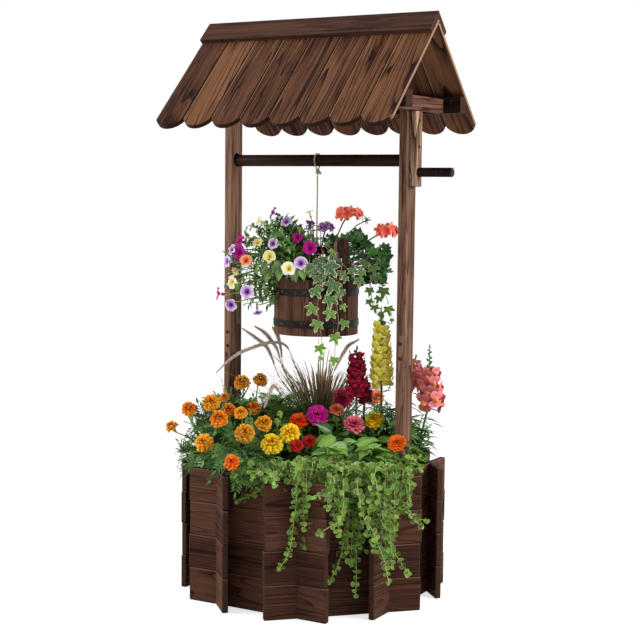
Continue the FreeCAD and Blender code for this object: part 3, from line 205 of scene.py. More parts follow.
def surface(material, colour, rough, gloss=0.5, normal=None, more=()):
    inputs = {"Base Color": colour, "Roughness": rough, "Specular IOR Level": gloss}
    inputs.update(more)
    if normal:
        inputs["Normal"] = normal
    for name, value in inputs.items():
        wire(material.node_tree.nodes["Principled BSDF"].inputs[name], value)
    return material


# Stained and scorched softwood. The pattern is a solid one: fine grain, late-wood lines that
# open round knots, scorched patches and lighter zones, different on each board. Along a board's
# own edges it paints a highlight on one side, in the pale colour, and shade on the other, for
# the light an edge catches and the shadow in the seam.
wood = {
    "dark": "#1c0e09", "mid": "#4b2d20", "light": "#7b5540", "gold": "#875c3c", "cut": "#4a3024",
    "side": None, "waver": 0.004, "knots": 0.3, "scorch": 0.5, "lines": 0.3, "streaks": 0.9,
    "rough": 0.62, "relief": 0.4, "boardSpread": 0.35, "golden": 0.5, "pale": "#8d6b55",
    "highlightSide": "high", "highlightEdge": 0.0012, "shadeEdge": 0.0009, "highlightStrength": 0.7, "sideFrom": 0.24,
    "gloss": 0.07,
}


def woodMaterial(name, turnBy, boardNumber, tones):
    look = {**wood, **tones}
    material, tree = newMaterial(name)
    own = coordinates(tree)
    seed, lowRest, highRest = boardNumber(own)
    luck = added(tree, "TexWhiteNoise", {"W": seed}, noise_dimensions="1D")
    lucks = split(luck.other("Color"))
    parts = split(turned(own, turnBy))
    lengthwise, grain, depth = [share * reach + part
                                for share, reach, part in zip(lucks, (7.0, 3.0, 3.0), parts)]

    def stretched(along, wide, deep=None):
        return combined(lengthwise * along, grain * wide, depth * (deep or wide))

    waver = cloud(stretched(3.5, 12.0), 1.0) - 0.5
    cells = added(tree, "TexVoronoi", {"Vector": stretched(7.0, 19.0, 1.0), "Scale": 1.0})
    picked = maths("LESS_THAN", split(cells.other("Color"))[0], look["knots"])
    nearKnot, knot, halo = [picked * between(cells, far, close)
                            for far, close in ((0.4, 0.0), (0.085, 0.035), (0.2, 0.05))]
    grain = grain + waver * (look["waver"] * 2) + nearKnot ** 2.0 * 0.006
    fine = cloud(stretched(9.0, 620.0), 1.0, 2.0, 0.6)
    streak = cloud(stretched(3.2, 150.0), 1.0, 3.0, 0.6)
    rings = maths("FRACT", cloud(stretched(1.3, 24.0), 1.0, 0.0) * 16.0)
    late = rings ** 3.5
    burnt = between(cloud(stretched(6.5, 34.0), 1.0, 4.0, 0.62), 0.53, 0.75)
    zone = cloud(stretched(4.5, 14.0), 1.0)
    level = (late * -look["lines"] + 0.56 + (fine - 0.5) * 0.75 + (streak - 0.5) * look["streaks"]
             - burnt * look["scorch"] + (luck - 0.5) * look["boardSpread"] - halo * 0.22)
    level = maths("MULTIPLY_ADD", knot, -0.6, level, clamp=True)
    plain = ramp(level, (0.12, look["dark"]), (0.5, look["mid"]), (0.9, look["light"]))
    golden = ramp(level, (0.12, look["dark"]), (0.5, look["gold"]), (0.95, look["light"]))
    share = between((lucks[2] - 0.5) * 0.35 + zone, 0.42, 0.68) * look["golden"]
    tone = blended(share, plain, golden)
    facing = split(turned(coordinates(tree, "Normal"), turnBy))
    end = between(abs(facing[0]), 0.35, 0.6)
    tone = blended(end, tone, blended(rings * 0.5, look["cut"], look["dark"]))
    # Painted highlight along one edge of each board and painted shade along the other, for the
    # light on the edge and the shadow in the seam
    if lowRest:
        wornAndLit, shadedRest = (lowRest, highRest) if look["highlightSide"] == "low" else (highRest, lowRest)
        pale, dark = look["highlightEdge"], look["shadeEdge"]
        rim = between((streak - 0.5) * (pale * 2) + wornAndLit, pale * 1.3, pale * 0.7)
        tone = blended(rim * look["highlightStrength"], tone, look["pale"])
        tone = blended(between(shadedRest, dark * 1.4, dark) * 0.9, tone, look["dark"])
    if look["side"]:
        outer = maths("GREATER_THAN", abs(split(own)[0]), look["sideFrom"])
        tone = blended(between(abs(facing[1]), 0.8, 0.95) * outer * 0.75, tone, look["side"])
    rough = between(streak, 0.3, 0.7, look["rough"] + 0.1, look["rough"] - 0.08)
    relief = bump(fine + streak - late * 0.6, look["relief"], 0.0007)
    return surface(material, tone, rough, look["gloss"], relief)


# How a board is told from the next: its number, and how far it is to its edges on either side
def oneBoard(number):
    return lambda own: (float(number), None, None)


def counted(place, step, number):
    rest = maths("FRACT", place) * step
    return maths("FLOOR", place) + float(number), rest, step - rest


def countedBoards(axis, first, step, number):
    return lambda own: counted((split(own)[axis] - first) / step, step, number)


def put(names, material):
    for name in names.split():
        nodes[name].data.materials.clear()
        nodes[name].data.materials.append(material)


# The tub's walls: the grain follows each side round, and each course is another board, with
# a painted highlight in the pale colour along its top edge and painted shade along its bottom edge
tub = {"walls": "front front_right right back_right back back_left left front_left",
       "courseHeight": 0.0658, "firstSlat": -0.208, "slatPitch": 0.052, "firstBearer": -0.105,
       "bearerPitch": 0.07, "dark": "#200f0a", "mid": "#472b20", "light": "#694636",
       "gold": "#5d3e2e", "cut": "#4a3226", "pale": "#74574a", "scorch": 0.28, "lines": 0.4,
       "streaks": 0.5, "highlightEdge": 0.0018, "shadeEdge": 0.0018, "knots": 0.22}


def finishTub():
    for side, name in enumerate(tub["walls"].split()):
        numbering = countedBoards(2, 0.0, tub["courseHeight"], 11.0 * side)
        put("wall_" + name, woodMaterial("wall_%sWood" % name, (0, 0, -45 * side), numbering, tub))
    slats = countedBoards(1, tub["firstSlat"], tub["slatPitch"], 100)
    put("floor_slats", woodMaterial("slatWood", (0, 0, 0), slats, tub))
    bearers = countedBoards(0, tub["firstBearer"], tub["bearerPitch"], 120)
    put("floor_bearers", woodMaterial("bearerWood", (0, 0, 90), bearers, tub))
    print("tub finished")


# The roof: strongly grained boards, the grain running down the slope, pale sawn side faces on
# the two outer boards, and at each seam a painted highlight on one board's edge and painted
# shade on the next board's edge
roof = {"pitch": 45.4, "boards": 8, "length": 0.5216, "dark": "#220f09", "mid": "#5a3929",
        "light": "#86604a", "gold": "#87593a", "cut": "#2e1a12", "side": "#a9856c",
        "pale": "#ad8a6c", "knots": 0.7, "boardSpread": 0.26, "golden": 0.8, "streaks": 0.85,
        "lines": 0.6, "highlightSide": "low", "highlightEdge": 0.0026, "shadeEdge": 0.0014, "highlightStrength": 0.95}
roofCap = {"dark": "#1f100c", "mid": "#432a21", "light": "#64453a", "golden": 0.2, "lines": 0.25,
           "streaks": 0.6}


def finishRoof():
    for slope, tilt in (("front", -roof["pitch"]), ("back", roof["pitch"])):
        numbering = countedBoards(0, -roof["length"] / 2, roof["length"] / roof["boards"],
                                  250 + tilt)
        names = ["roof_board_%s_%d" % (slope, number + 1) for number in range(roof["boards"])]
        put(" ".join(names), woodMaterial(slope + "RoofWood", (tilt, 0, 90), numbering, roof))
        put("ridge_cap_" + slope, woodMaterial(slope + "CapWood", (tilt, 0, 0),
                                               oneBoard(240 + tilt), roofCap))
    print("roof finished")


# Posts, beams, rails, crossbar and crank. Pieces: way of the grain, board number, tones
posts = {"dark": "#2c1810", "mid": "#7a5948", "light": "#a08069", "gold": "#8a6650",
         "cut": "#6b4a3a", "knots": 0.2, "scorch": 0.35}
# The crank arm: the posts' wood in much paler tones, a painted highlight for the light that falls
# on its outer side
arm = {**posts, "mid": "#bd987f", "light": "#dcbea6", "gold": "#c69f82"}
# The eave rails' dark tones are painted shade, for the shadow under the roof
rails = {"dark": "#1a0c08", "mid": "#38211a", "light": "#563a2e", "gold": "#4b3024",
         "cut": "#3a2419", "knots": 0.2}
beams = {"dark": "#2a150d", "mid": "#795343", "light": "#a57f69", "gold": "#8d6750",
         "cut": "#5a3c2e", "knots": 0.2}
crank = {"dark": "#120806", "mid": "#2d1a15", "light": "#4a2e24", "gold": "#3a241b",
         "cut": "#3a241c", "knots": 0.0, "rough": 0.5, "pale": "#5b4236"}
timbers = {"left_post_lower": ((0, 90, 0), 300, posts),
           "left_post_upper": ((0, 90, 0), 307, posts),
           "right_post_lower": ((0, 90, 0), 314, posts),
           "right_post_upper": ((0, 90, 0), 321, posts),
           "crank_arm": ((0, 90, 0), 341, arm),
           "gable_beam_left": ((0, 0, 90), 350, beams),
           "gable_beam_right": ((0, 0, 90), 351, beams),
           "eave_rail_front": ((0, 0, 0), 360, rails),
           "eave_rail_back": ((0, 0, 0), 361, rails),
           "crossbar": ((0, 0, 0), 371, crank),
           "crank_handle": ((0, 0, 0), 372, crank)}


def finishTimbers():
    for name, (turnBy, number, tones) in timbers.items():
        label = name.replace("crank_", "") + "Wood"
        put(name, woodMaterial(label, turnBy, oneBoard(number), tones))
    print("posts, beams and crank finished")


# The bucket: sixteen staves, each with its own grain and with a painted highlight and painted
# shade along its edges at the joins, black bands and a dark rod
bucket = {"turn": -22.0, "staves": 16, "staveWidth": 0.0332, "dark": "#1f100b", "mid": "#54372a",
          "light": "#83604f", "gold": "#6f4c3a", "cut": "#5c4034", "knots": 0.06,
          "boardSpread": 0.5, "highlightSide": "low", "highlightEdge": 0.0014, "shadeEdge": 0.001,
          "lines": 0.2}
metals = {"bandMetal": ("#100c0b", "#4b4542", 0.4), "screwMetal": ("#2c2825", "#57504a", 0.45),
          "rivetMetal": ("#4a4644", "#8f8a85", 0.3)}    # plain, worn, roughness


# Counts staves by their bearing from the bucket's axis
def countedStaves(own):
    parts = split(turned(own, (0, 0, -bucket["turn"])))
    bearing = maths("ARCTAN2", parts[1], parts[0]) / fullTurn
    return counted(bearing * float(bucket["staves"]) + 0.5, bucket["staveWidth"], 400)


def metalMaterial(name):
    plain, wornAndLit, rough = metals[name]
    material, tree = newMaterial(name)
    place = coordinates(tree)
    stains = cloud(place, 60.0, 4.0, 0.65)
    scratches = cloud(turned(place, (20, 40, 10)), 900.0)
    return surface(material, blended(between(stains, 0.5, 0.75), plain, wornAndLit),
                   between(stains, 0.3, 0.7, rough, rough + 0.25),
                   normal=bump(scratches, 0.12, 0.0003), more={"Metallic": 0.75})


def finishBucket():
    put("bucket_staves bucket_ears", woodMaterial("staveWood", (0, 90, 0), countedStaves, bucket))
    put("bucket_floor", woodMaterial("bucketFloorWood", (0, 0, 0), oneBoard(430),
                                     {"mid": bucket["mid"]}))
    put("bucket_handle", woodMaterial("rodWood", (0, 0, -bucket["turn"]), oneBoard(431), crank))
    put("bucket_band_upper bucket_band_lower", metalMaterial("bandMetal"))
    print("bucket finished")


# Screws and rivets: one head of each kind is modelled, and copied to every place
# Heads: width and height
fasteners = {"screwHead": (0.0076, 0.0022), "rivetHead": (0.0054, 0.0014), "slot": 0.0012,
             "screwLength": 0.02, "shank": (0.0019, 0.0012), "lapHeights": (481.5, 510.5),
             "beamHeight": 973, "wallHeights": (32.9, 98.7, 164.5, 230.3), "railHeight": 982,
             "boardPitch": 68.5, "armHeights": (939.5, 890), "hoopHeights": (542, 604.5)}


def panHead(name, crossed):
    width, height = fasteners[name]
    selectNone()
    bpy.ops.mesh.primitive_cylinder_add(vertices=20, radius=width / 2, depth=height,
                                        location=(0, 0, height / 2))
    head = named(name)
    bpy.ops.object.mode_set(mode="EDIT")
    bpy.ops.mesh.select_mode(type="FACE")
    bpy.ops.mesh.select_all(action="DESELECT")
    bpy.ops.object.mode_set(mode="OBJECT")
    for face in head.data.polygons:
        face.select = face.normal.z > 0.9
    bpy.ops.object.mode_set(mode="EDIT")
    bpy.ops.mesh.bevel(offset=height * 0.45, segments=3, affect="EDGES")
    bpy.ops.object.mode_set(mode="OBJECT")
    for angle in (0, math.pi / 2) if crossed else ():
        bpy.ops.mesh.primitive_cube_add(size=1, location=(0, 0, height), rotation=(0, 0, angle),
                                        scale=(width * 0.62, fasteners["slot"], height * 0.8))
        groove = bpy.context.object
        selectNone()
        bpy.context.view_layer.objects.active = head
        cutter = head.modifiers.new("recess", "BOOLEAN")
        cutter.object = groove
        cutter.operation = "DIFFERENCE"
        bpy.ops.object.modifier_apply(modifier="recess")
        bpy.data.objects.remove(groove)
    return asStamp(head)


def readOut(items, key, width=1, kind=np.int64):
    values = np.empty(len(items) * width, dtype=kind)
    items.foreach_get(key, values)
    return values


# Shapes that repeat are modelled once, kept here as arrays, and copied into one mesh
def asStamp(piece):
    mesh = piece.data
    shape = {"points": readOut(mesh.vertices, "co", 3, float).reshape(-1, 3),
             "corners": readOut(mesh.loops, "vertex_index"),
             "sizes": readOut(mesh.polygons, "loop_total"),
             "slots": readOut(mesh.polygons, "material_index"),
             "places": readOut(mesh.uv_layers[0].uv, "vector", 2, float).reshape(-1, 2)}
    bpy.data.objects.remove(piece)
    return shape


def newBunch():
    return {"points": [], "corners": [], "sizes": [], "slots": [], "places": [], "tints": [],
            "count": 0}


def addShape(bunch, shape, tint):
    for key in ("points", "sizes", "slots", "places"):
        bunch[key].append(shape[key])
    bunch["corners"].append(shape["corners"] + bunch["count"])
    bunch["tints"].append(np.full(len(shape["points"]), tint))
    bunch["count"] += len(shape["points"])


def asShape(bunch):
    return {key: np.concatenate(bunch[key])
            for key in ("points", "corners", "sizes", "slots", "places")}


def stamp(bunch, shape, place, tint=0.5, slot=None):
    copy = dict(shape, points=(shape["points"] @ np.array(place.to_3x3()).T
                               + np.array(place.translation)))
    if slot is not None:
        copy["slots"] = np.full(len(shape["sizes"]), slot)
    addShape(bunch, copy, tint)


# Quads between rows of points. A closed strip is a tube, and its ends are capped.
def addStrip(bunch, rows, slot, tint, closed):
    count, width = len(rows), len(rows[0])
    lanes = width if closed else width - 1
    corners, places = [], []
    for row in range(count - 1):
        for lane in range(lanes):
            low, following = row * width, (lane + 1) % width
            corners += [low + lane, low + following, low + width + following, low + width + lane]
            places += [((lane + right) / lanes, (row + over) / (count - 1))
                       for right, over in ((0, 0), (1, 0), (1, 1), (0, 1))]
    sizes = [4] * ((count - 1) * lanes)
    if closed:
        corners += [*range(width - 1, -1, -1), *range((count - 1) * width, count * width)]
        places += [(0.5, 0.0)] * width + [(0.5, 1.0)] * width
        sizes += [width, width]
    points = np.array([list(point) for row in rows for point in row])
    addShape(bunch, {"points": points, "corners": np.array(corners), "sizes": np.array(sizes),
                     "slots": np.full(len(sizes), slot), "places": np.array(places)}, tint)


def directions(route):
    last = len(route) - 1
    return [(route[min(i + 1, last)] - route[max(i - 1, 0)]).normalized() for i in range(last + 1)]


def swung(side, other, angle, reach=1.0):
    return side * (reach * math.cos(angle)) + other * (reach * math.sin(angle))


# A stalk or strand: a tube of a few sides through a list of points
def addTube(bunch, route, girth, sides=5, slot=0, tint=0.5):
    route = [Vector(point) for point in route]
    ways = directions(route)
    side = ways[0].orthogonal().normalized()
    rows = []
    for index, (spot, way) in enumerate(zip(route, ways)):
        side = (side - way * side.dot(way)).normalized()
        radius = girth[0] + (girth[1] - girth[0]) * index / (len(route) - 1)
        rows.append([spot + swung(side, way.cross(side), fullTurn * step / sides, radius)
                     for step in range(sides)])
    addStrip(bunch, rows, slot, tint, True)


def planted(name, bunch, materials, body, replaced, smooth=True):
    whole = asShape(bunch)
    sizes = whole["sizes"]
    mesh = bpy.data.meshes.new(name)
    mesh.vertices.add(len(whole["points"]))
    mesh.vertices.foreach_set("co", whole["points"].ravel())
    mesh.loops.add(len(whole["corners"]))
    mesh.loops.foreach_set("vertex_index", whole["corners"])
    mesh.polygons.add(len(sizes))
    mesh.polygons.foreach_set("loop_start", np.concatenate(([0], np.cumsum(sizes)[:-1])))
    mesh.polygons.foreach_set("material_index", whole["slots"])
    mesh.uv_layers.new(name="petalMap")
    mesh.uv_layers[0].uv.foreach_set("vector", whole["places"].ravel())
    tints = mesh.attributes.new("tint", "FLOAT", "POINT")
    tints.data.foreach_set("value", np.concatenate(bunch["tints"]))
    mesh.update(calc_edges=True)
    mesh.validate()
    mesh.polygons.foreach_set("use_smooth", [smooth] * len(mesh.polygons))
    for material in materials:
        mesh.materials.append(material)
    piece = bpy.data.objects.new(name, mesh)
    bpy.context.scene.collection.objects.link(piece)
    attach(piece, body)
    if replaced:
        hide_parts(*replaced)
    print(name, "has", len(mesh.polygons), "faces")
    return piece


def placed(spot, side, other, face, size):
    turning = Matrix((side * size, other * size, face * size)).transposed()
    return Matrix.Translation(spot) @ turning.to_4x4()


# Leaves and flowers stand with their root at the spot. A leaf grows along its own Y and
# looks up along Z; a flower looks along Z.
def leafPlace(spot, along, face, size=1.0):
    along, face = Vector(along).normalized(), Vector(face)
    face = face - along * face.dot(along)
    face = face.normalized() if face.length > 1e-6 else along.orthogonal().normalized()
    return placed(spot, along.cross(face), along, face, size)


def flowerPlace(spot, facing, spin, size=1.0):
    facing = Vector(facing).normalized()
    side = facing.orthogonal().normalized()
    first = swung(side, facing.cross(side), spin)
    return placed(spot, first, facing.cross(first), facing, size)


# Copies one head to each place, given as a spot and the direction that it faces
def addHeads(name, shape, places, metal, body, replaced, shank=None):
    bunch = newBunch()
    for index, (spot, facing) in enumerate(places):
        start = Vector(spot) / 1000
        stamp(bunch, shape, flowerPlace(start, facing, index * 1.7))
        if shank:
            addTube(bunch, [start, start - Vector(facing).normalized() * shank],
                    fasteners["shank"], 6)
    piece = planted(name, bunch, [metalMaterial(metal)], body, [replaced], smooth=False)
    selectNone()
    piece.select_set(True)
    bpy.context.view_layer.objects.active = piece
    bpy.ops.object.shade_smooth_by_angle(angle=math.radians(40))


def addFasteners():
    screws, rivets = [], []
    pitch, rail = fasteners["boardPitch"], fasteners["railHeight"]
    for side in (-1, 1):
        screws += [((200 * side, -20, z), (0, -1, 0)) for z in fasteners["lapHeights"]]
        screws += [((191 * side, y, fasteners["beamHeight"]), (-side, 0, 0)) for y in (-9, 9)]
        screws += [((191 * side, 0, z), (-side, 0, 0)) for z in fasteners["wallHeights"]]
        screws += [(((i - 3.5) * pitch, 106 * side, rail), (0, -side, 0)) for i in range(8)]
    screws += [((224, 0, z), (1, 0, 0)) for z in fasteners["armHeights"]]
    addHeads("screwHeads", panHead("screwHead", True), screws, "screwMetal", "frame",
             "frame_screws", fasteners["screwLength"])
    for number in range(8):
        bearing = math.radians(45 * number + bucket["turn"])
        way = (math.cos(bearing), math.sin(bearing), 0)
        rivets += [((86 * way[0], 86 * way[1], z), way) for z in fasteners["hoopHeights"]]
    addHeads("rivetHeads", panHead("rivetHead", False), rivets, "rivetMetal", "bucket",
             "band_rivets")


# Twine of three twisted strands. Each length follows a smooth line through its own points.
twine = {"width": 0.003, "strand": 0.00078, "offset": 0.00075, "twist": 0.0085, "step": 0.0011,
         "bar": 864.0, "barKnot": 842.2, "barLoop": 14.75, "rod": 685.5, "rodKnot": 701.0,
         "rodLoop": 9.84, "rodWay": (0.375, 0.927), "dark": "#7d6450", "mid": "#b39a80",
         "light": "#dcc7ac",
         "tail": [(0, 0, 844.2), (3.5, -1.5, 844.7), (7, -2.5, 841.7), (9, -3, 836.7)],
         "hang": [(0, 0, 835.3), (0.3, -0.2, 800), (-0.3, 0.2, 755), (0, 0, 707.9)]}


def smoothLine(name, route):
    data = bpy.data.curves.new(name, "CURVE")
    data.dimensions = "3D"
    spline = data.splines.new("NURBS")
    spline.points.add(len(route) - 1)
    for point, spot in zip(spline.points, route):
        point.co = [c / 1000 for c in spot] + [1]
    spline.order_u = 3
    spline.use_endpoint_u = True
    spline.resolution_u = 10
    helper = bpy.data.objects.new(name, data)
    bpy.context.scene.collection.objects.link(helper)
    mesh = bpy.data.meshes.new_from_object(helper)
    line = [vertex.co.copy() for vertex in mesh.vertices]
    bpy.data.objects.remove(helper)
    bpy.data.meshes.remove(mesh)
    return line


# Three strands round a line, which is first cut into steps of about a millimetre
def twist(bunch, line, phase=0.0, loosen=0.0):
    spots = [line[0].copy()]
    for first, second in zip(line, line[1:]):
        pieces = max(1, round((second - first).length / twine["step"]))
        spots += [first.lerp(second, (i + 1) / pieces) for i in range(pieces)]
    side = (spots[1] - spots[0]).orthogonal().normalized()
    strands = [[], [], []]
    gone = 0.0
    for index, (spot, way) in enumerate(zip(spots, directions(spots))):
        side = (side - way * side.dot(way)).normalized()
        gone += (spot - spots[max(index - 1, 0)]).length
        spread = twine["offset"] * (1 + loosen * (index / (len(spots) - 1)) ** 3)
        for number, strand in enumerate(strands):
            angle = phase + fullTurn * (gone / twine["twist"] + number / 3)
            strand.append(spot + swung(side, way.cross(side), angle, spread))
    for number, strand in enumerate(strands):
        addTube(bunch, strand, (twine["strand"], twine["strand"]), 6, 0, number / 3)


def twineMaterial():
    material, tree = newMaterial("twineFibre")
    parts = split(coordinates(tree, "UV"))
    fibres = cloud(combined(parts[0] * 14.0, parts[1] * 8.0, tintOf(tree)), 1.0, 3.0, 0.6)
    tone = ramp(fibres, (0.3, twine["dark"]), (0.5, twine["mid"]), (0.7, twine["light"]))
    return surface(material, tone, 0.85, 0.15, bump(fibres, 0.6, 0.0003), {"Sheen Weight": 0.3})


def knotPiece(name, middle, halfHeight, tails, material, body):
    bunch = newBunch()
    steps = 36    # three turns of twelve
    coil = []
    for index in range(steps + 1):
        angle = fullTurn * index / 12
        height = middle - halfHeight + 2 * halfHeight * index / steps
        coil.append(Vector((2.5 * math.cos(angle), 2.5 * math.sin(angle), height)) / 1000)
    twist(bunch, [Vector((0, 0, coil[0].z))] + coil + [Vector((0, 0, coil[-1].z))])
    for tail in tails:
        twist(bunch, smoothLine("tail", tail), 1.0, 1.2)
    return planted(name, bunch, [material], body, None)


# From a knot once round a bar and back, on the plane through the given level direction
def loopRoute(knot, bar, radius, way):
    lift = math.copysign(radius, knot - bar)
    ring = [math.radians(67.5 + 45 * i) for i in range(6)]
    ring = [(way[0] * radius * math.sin(a), way[1] * radius * math.sin(a), bar + lift * math.cos(a))
            for a in ring]
    return [(0, 0, knot)] + ring + [(0, 0, knot)]


def addTwine():
    fibre = twineMaterial()
    barKnot = knotPiece("barKnot", twine["barKnot"], 4.6, [twine["tail"]], fibre, "rope_loop")
    rodKnot = knotPiece("rodKnot", twine["rodKnot"], 4.4, [], fibre, "bucket")
    barRoute = loopRoute(twine["barKnot"], twine["bar"], twine["barLoop"], (0, 1))
    rodRoute = loopRoute(twine["rodKnot"], twine["rod"], twine["rodLoop"], twine["rodWay"])
    for name, route, body, node, lay, knots in (
            ("barLoopTwine", barRoute, "rope_loop", "rope_loop", "loose", [barKnot]),
            ("hangingTwine", twine["hang"], "hanging_rope", "hanging_rope", "taut", []),
            ("rodLoopTwine", rodRoute, "bucket", "handle_loop", "loose", [rodKnot])):
        line = smoothLine(name, route)
        bunch = newBunch()
        twist(bunch, line)
        piece = planted(name, bunch, [fibre], body, [node])


# Potting soil: dark crumbs and pale specks, with loose lumps on top
# Beds: lumps, how far out they lie, their height and body
soil = {"dark": "#1c120d", "mid": "#36241a", "pale": "#6b5442", "lump": (0.0018, 0.0055),
        "beds": {"soilCrumbs": (420, 0.2, 0.2332, "frame"),
                 "bucketSoilCrumbs": (90, 0.06, 0.620, "bucket")}}


def soilMaterial():
    material, tree = newMaterial("pottingSoil")
    crumbs = cloud(coordinates(tree), 240.0, 5.0, 0.7)
    specks = between(cloud(coordinates(tree), 700.0), 0.68, 0.72)
    tone = blended(specks, ramp(crumbs, (0.3, soil["dark"]), (0.6, soil["mid"])), soil["pale"])
    return surface(material, tone, 0.95, 0.15, bump(crumbs, 0.9, 0.004))


def ball(name, radius, location=(0, 0, 0)):
    selectNone()
    bpy.ops.mesh.primitive_ico_sphere_add(subdivisions=1, radius=radius, location=location)
    return named(name)


def lumpShape(name, squashed):
    lump = ball(name, 1)
    luck = random.Random(name)
    for vertex in lump.data.vertices:
        vertex.co *= luck.uniform(0.75, 1.2)
        vertex.co.z *= squashed
    return asStamp(lump)


def addSoil():
    ground = soilMaterial()
    put("soil_bed bucket_soil", ground)
    shapes = [lumpShape("lumpOne", 0.7), lumpShape("lumpTwo", 0.9)]
    luck = random.Random(11)
    for name, (count, reach, top, body) in soil["beds"].items():
        bunch = newBunch()
        for index in range(count):
            far = reach * math.sqrt(luck.random())
            bearing = luck.uniform(0, fullTurn)
            spot = Vector((far * math.cos(bearing), far * math.sin(bearing), top))
            size = luck.uniform(*soil["lump"])
            facing = (luck.uniform(-1, 1), luck.uniform(-1, 1), 1)
            stamp(bunch, shapes[index % 2], flowerPlace(spot, facing, index, size))
        planted(name, bunch, [ground], body, None, smooth=False)


# A pale floor that looks white, a soft lamp on either side, one behind, and a white sky
# Lamps: place, width, power
studio = {"floorColour": "#d0d0d0", "floorGlow": 0.68, "sky": 0.5, "aim": 0.55,
          "lamps": {"leftLamp": ((-2.5, -1.9, 1.9), 1.1, 70),
                    "rightLamp": ((2.9, 0.1, 1.7), 1.2, 74),
                    "rimLamp": ((-0.6, 2.6, 2.6), 1.8, 12)}}


# One where the camera sees something itself or through a shine, nought for bounced light
def seenDirectly(tree):
    rays = added(tree, "LightPath", {}, "Is Camera Ray")
    seen = maths("MAXIMUM", rays, rays.other("Is Glossy Ray"))
    return maths("MAXIMUM", seen, rays.other("Is Transmission Ray"))


def addStudio():
    selectNone()
    bpy.ops.mesh.primitive_plane_add(size=24, location=(0, 0, -0.0006))
    floor = named("studioFloor")
    bpy.ops.object.transform_apply(location=True)
    material, tree = newMaterial("paleFloor")
    surface(material, studio["floorColour"], 0.9, 0.0, None,
            {"Emission Color": "#ffffff",
             "Emission Strength": seenDirectly(tree) * studio["floorGlow"]})
    floor.data.materials.append(material)
    world = bpy.context.scene.world = bpy.data.worlds.new("whiteSky")
    world.use_nodes = True
    background = world.node_tree.nodes["Background"]
    wire(background.inputs["Color"], "#ffffff")
    seen = seenDirectly(world.node_tree)
    wire(background.inputs["Strength"], between(seen, 0.0, 1.0, studio["sky"], 1.0))
    for name, (place, width, power) in studio["lamps"].items():
        data = bpy.data.lights.new(name, "AREA")
        data.size = width
        data.energy = power
        lamp = bpy.data.objects.new(name, data)
        lamp.location = place
        aim = Vector((0, 0, studio["aim"])) - Vector(place)
        lamp.rotation_euler = aim.to_track_quat("-Z", "Y").to_euler()
        bpy.context.scene.collection.objects.link(lamp)
    bpy.context.scene.view_settings.view_transform = "Standard"
    print("studio set")


# A leaf or petal starts as a flat grid, narrowed by its outline and then bent
def leafShape(name, length, width, outline, rows=5, fold=0.0, droop=0.0, ruffle=0.0, lanes=2):
    selectNone()
    bpy.ops.mesh.primitive_grid_add(x_subdivisions=lanes, y_subdivisions=rows, size=1)
    leaf = named(name)
    for vertex in leaf.data.vertices:
        sideways, along = vertex.co.x, vertex.co.y + 0.5
        vertex.co.x = sideways * width * outline(along)
        vertex.co.y = length * along
        crease = fold * abs(sideways) * 2 * width * outline(along)
        wave = ruffle * length * math.sin(along * 9.0) * abs(sideways) * 2
        vertex.co.z = crease - droop * length * along ** 2 + wave
    return asStamp(leaf)


def pointed(along):
    return max(0.04, math.sin(math.pi * min(1.0, along ** 0.8)) ** 0.9)


def spoon(along):
    return (0.25 + 0.75 * math.sin(math.pi * min(1.0, 0.55 * along ** 1.3 + 0.02))
            if along < 0.93 else 0.72)


# A lobed leaf or flower face starts as a rim of points that is extruded inwards; reach
# gives its edge for each bearing, rise lifts it by bearing and share of the radius, and
# centre moves it along Y
def roundShape(name, reach, rise, points, rings, centre=0.0):
    selectNone()
    bpy.ops.mesh.primitive_circle_add(vertices=points, radius=1, fill_type="NOTHING",
                                      calc_uvs=False)
    leaf = named(name)
    bpy.ops.object.mode_set(mode="EDIT")
    bpy.ops.mesh.select_all(action="SELECT")
    last = 1.0
    for ring in rings:
        bpy.ops.mesh.extrude_edges_move()
        bpy.ops.transform.resize(value=(ring / last,) * 3)
        last = ring
    bpy.ops.mesh.extrude_edges_move()
    bpy.ops.mesh.merge(type="CENTER")
    bpy.ops.mesh.select_all(action="SELECT")
    bpy.ops.mesh.normals_make_consistent(inside=False)
    bpy.ops.object.mode_set(mode="OBJECT")
    if leaf.data.polygons[0].normal.z < 0:
        leaf.data.flip_normals()
    layer = leaf.data.uv_layers.new(name="petalMap")
    for loop in leaf.data.loops:
        spot = leaf.data.vertices[loop.vertex_index].co
        bearing = math.atan2(spot.y, spot.x) / fullTurn + 0.5
        layer.uv[loop.index].vector = (bearing, min(1.0, spot.xy.length))
    for vertex in leaf.data.vertices:
        share = vertex.co.xy.length
        bearing = math.atan2(vertex.co.y, vertex.co.x)
        far = reach(bearing) * share
        vertex.co = (far * math.cos(bearing), far * math.sin(bearing) + centre,
                     rise(bearing, share))
    return asStamp(leaf)


# Greens: deep, fresh, rib, and a pale or dark rim for leaves whose veins spread from one point
greens = {"marigoldLeaf": ("#2a4a1a", "#7fb05a", "#9cc078"),
          "zinniaLeafGreen": ("#2b5518", "#7fae48", "#aecb78"),
          "snapdragonLeaf": ("#264a20", "#5c8c44", "#84aa68"),
          "petuniaLeafGreen": ("#365c24", "#88b05a", "#a8c480"),
          "jennyLeafGreen": ("#20420f", "#7fac3e", "#b4cf74", "#a3c45c"),
          "geraniumLeafGreen": ("#163f1a", "#427f34", "#6c9c54", "#0f2c12"),
          "ivyLeafGreen": ("#2f5034", "#6f9a30", "#a9bb80", "#d8dcae")}


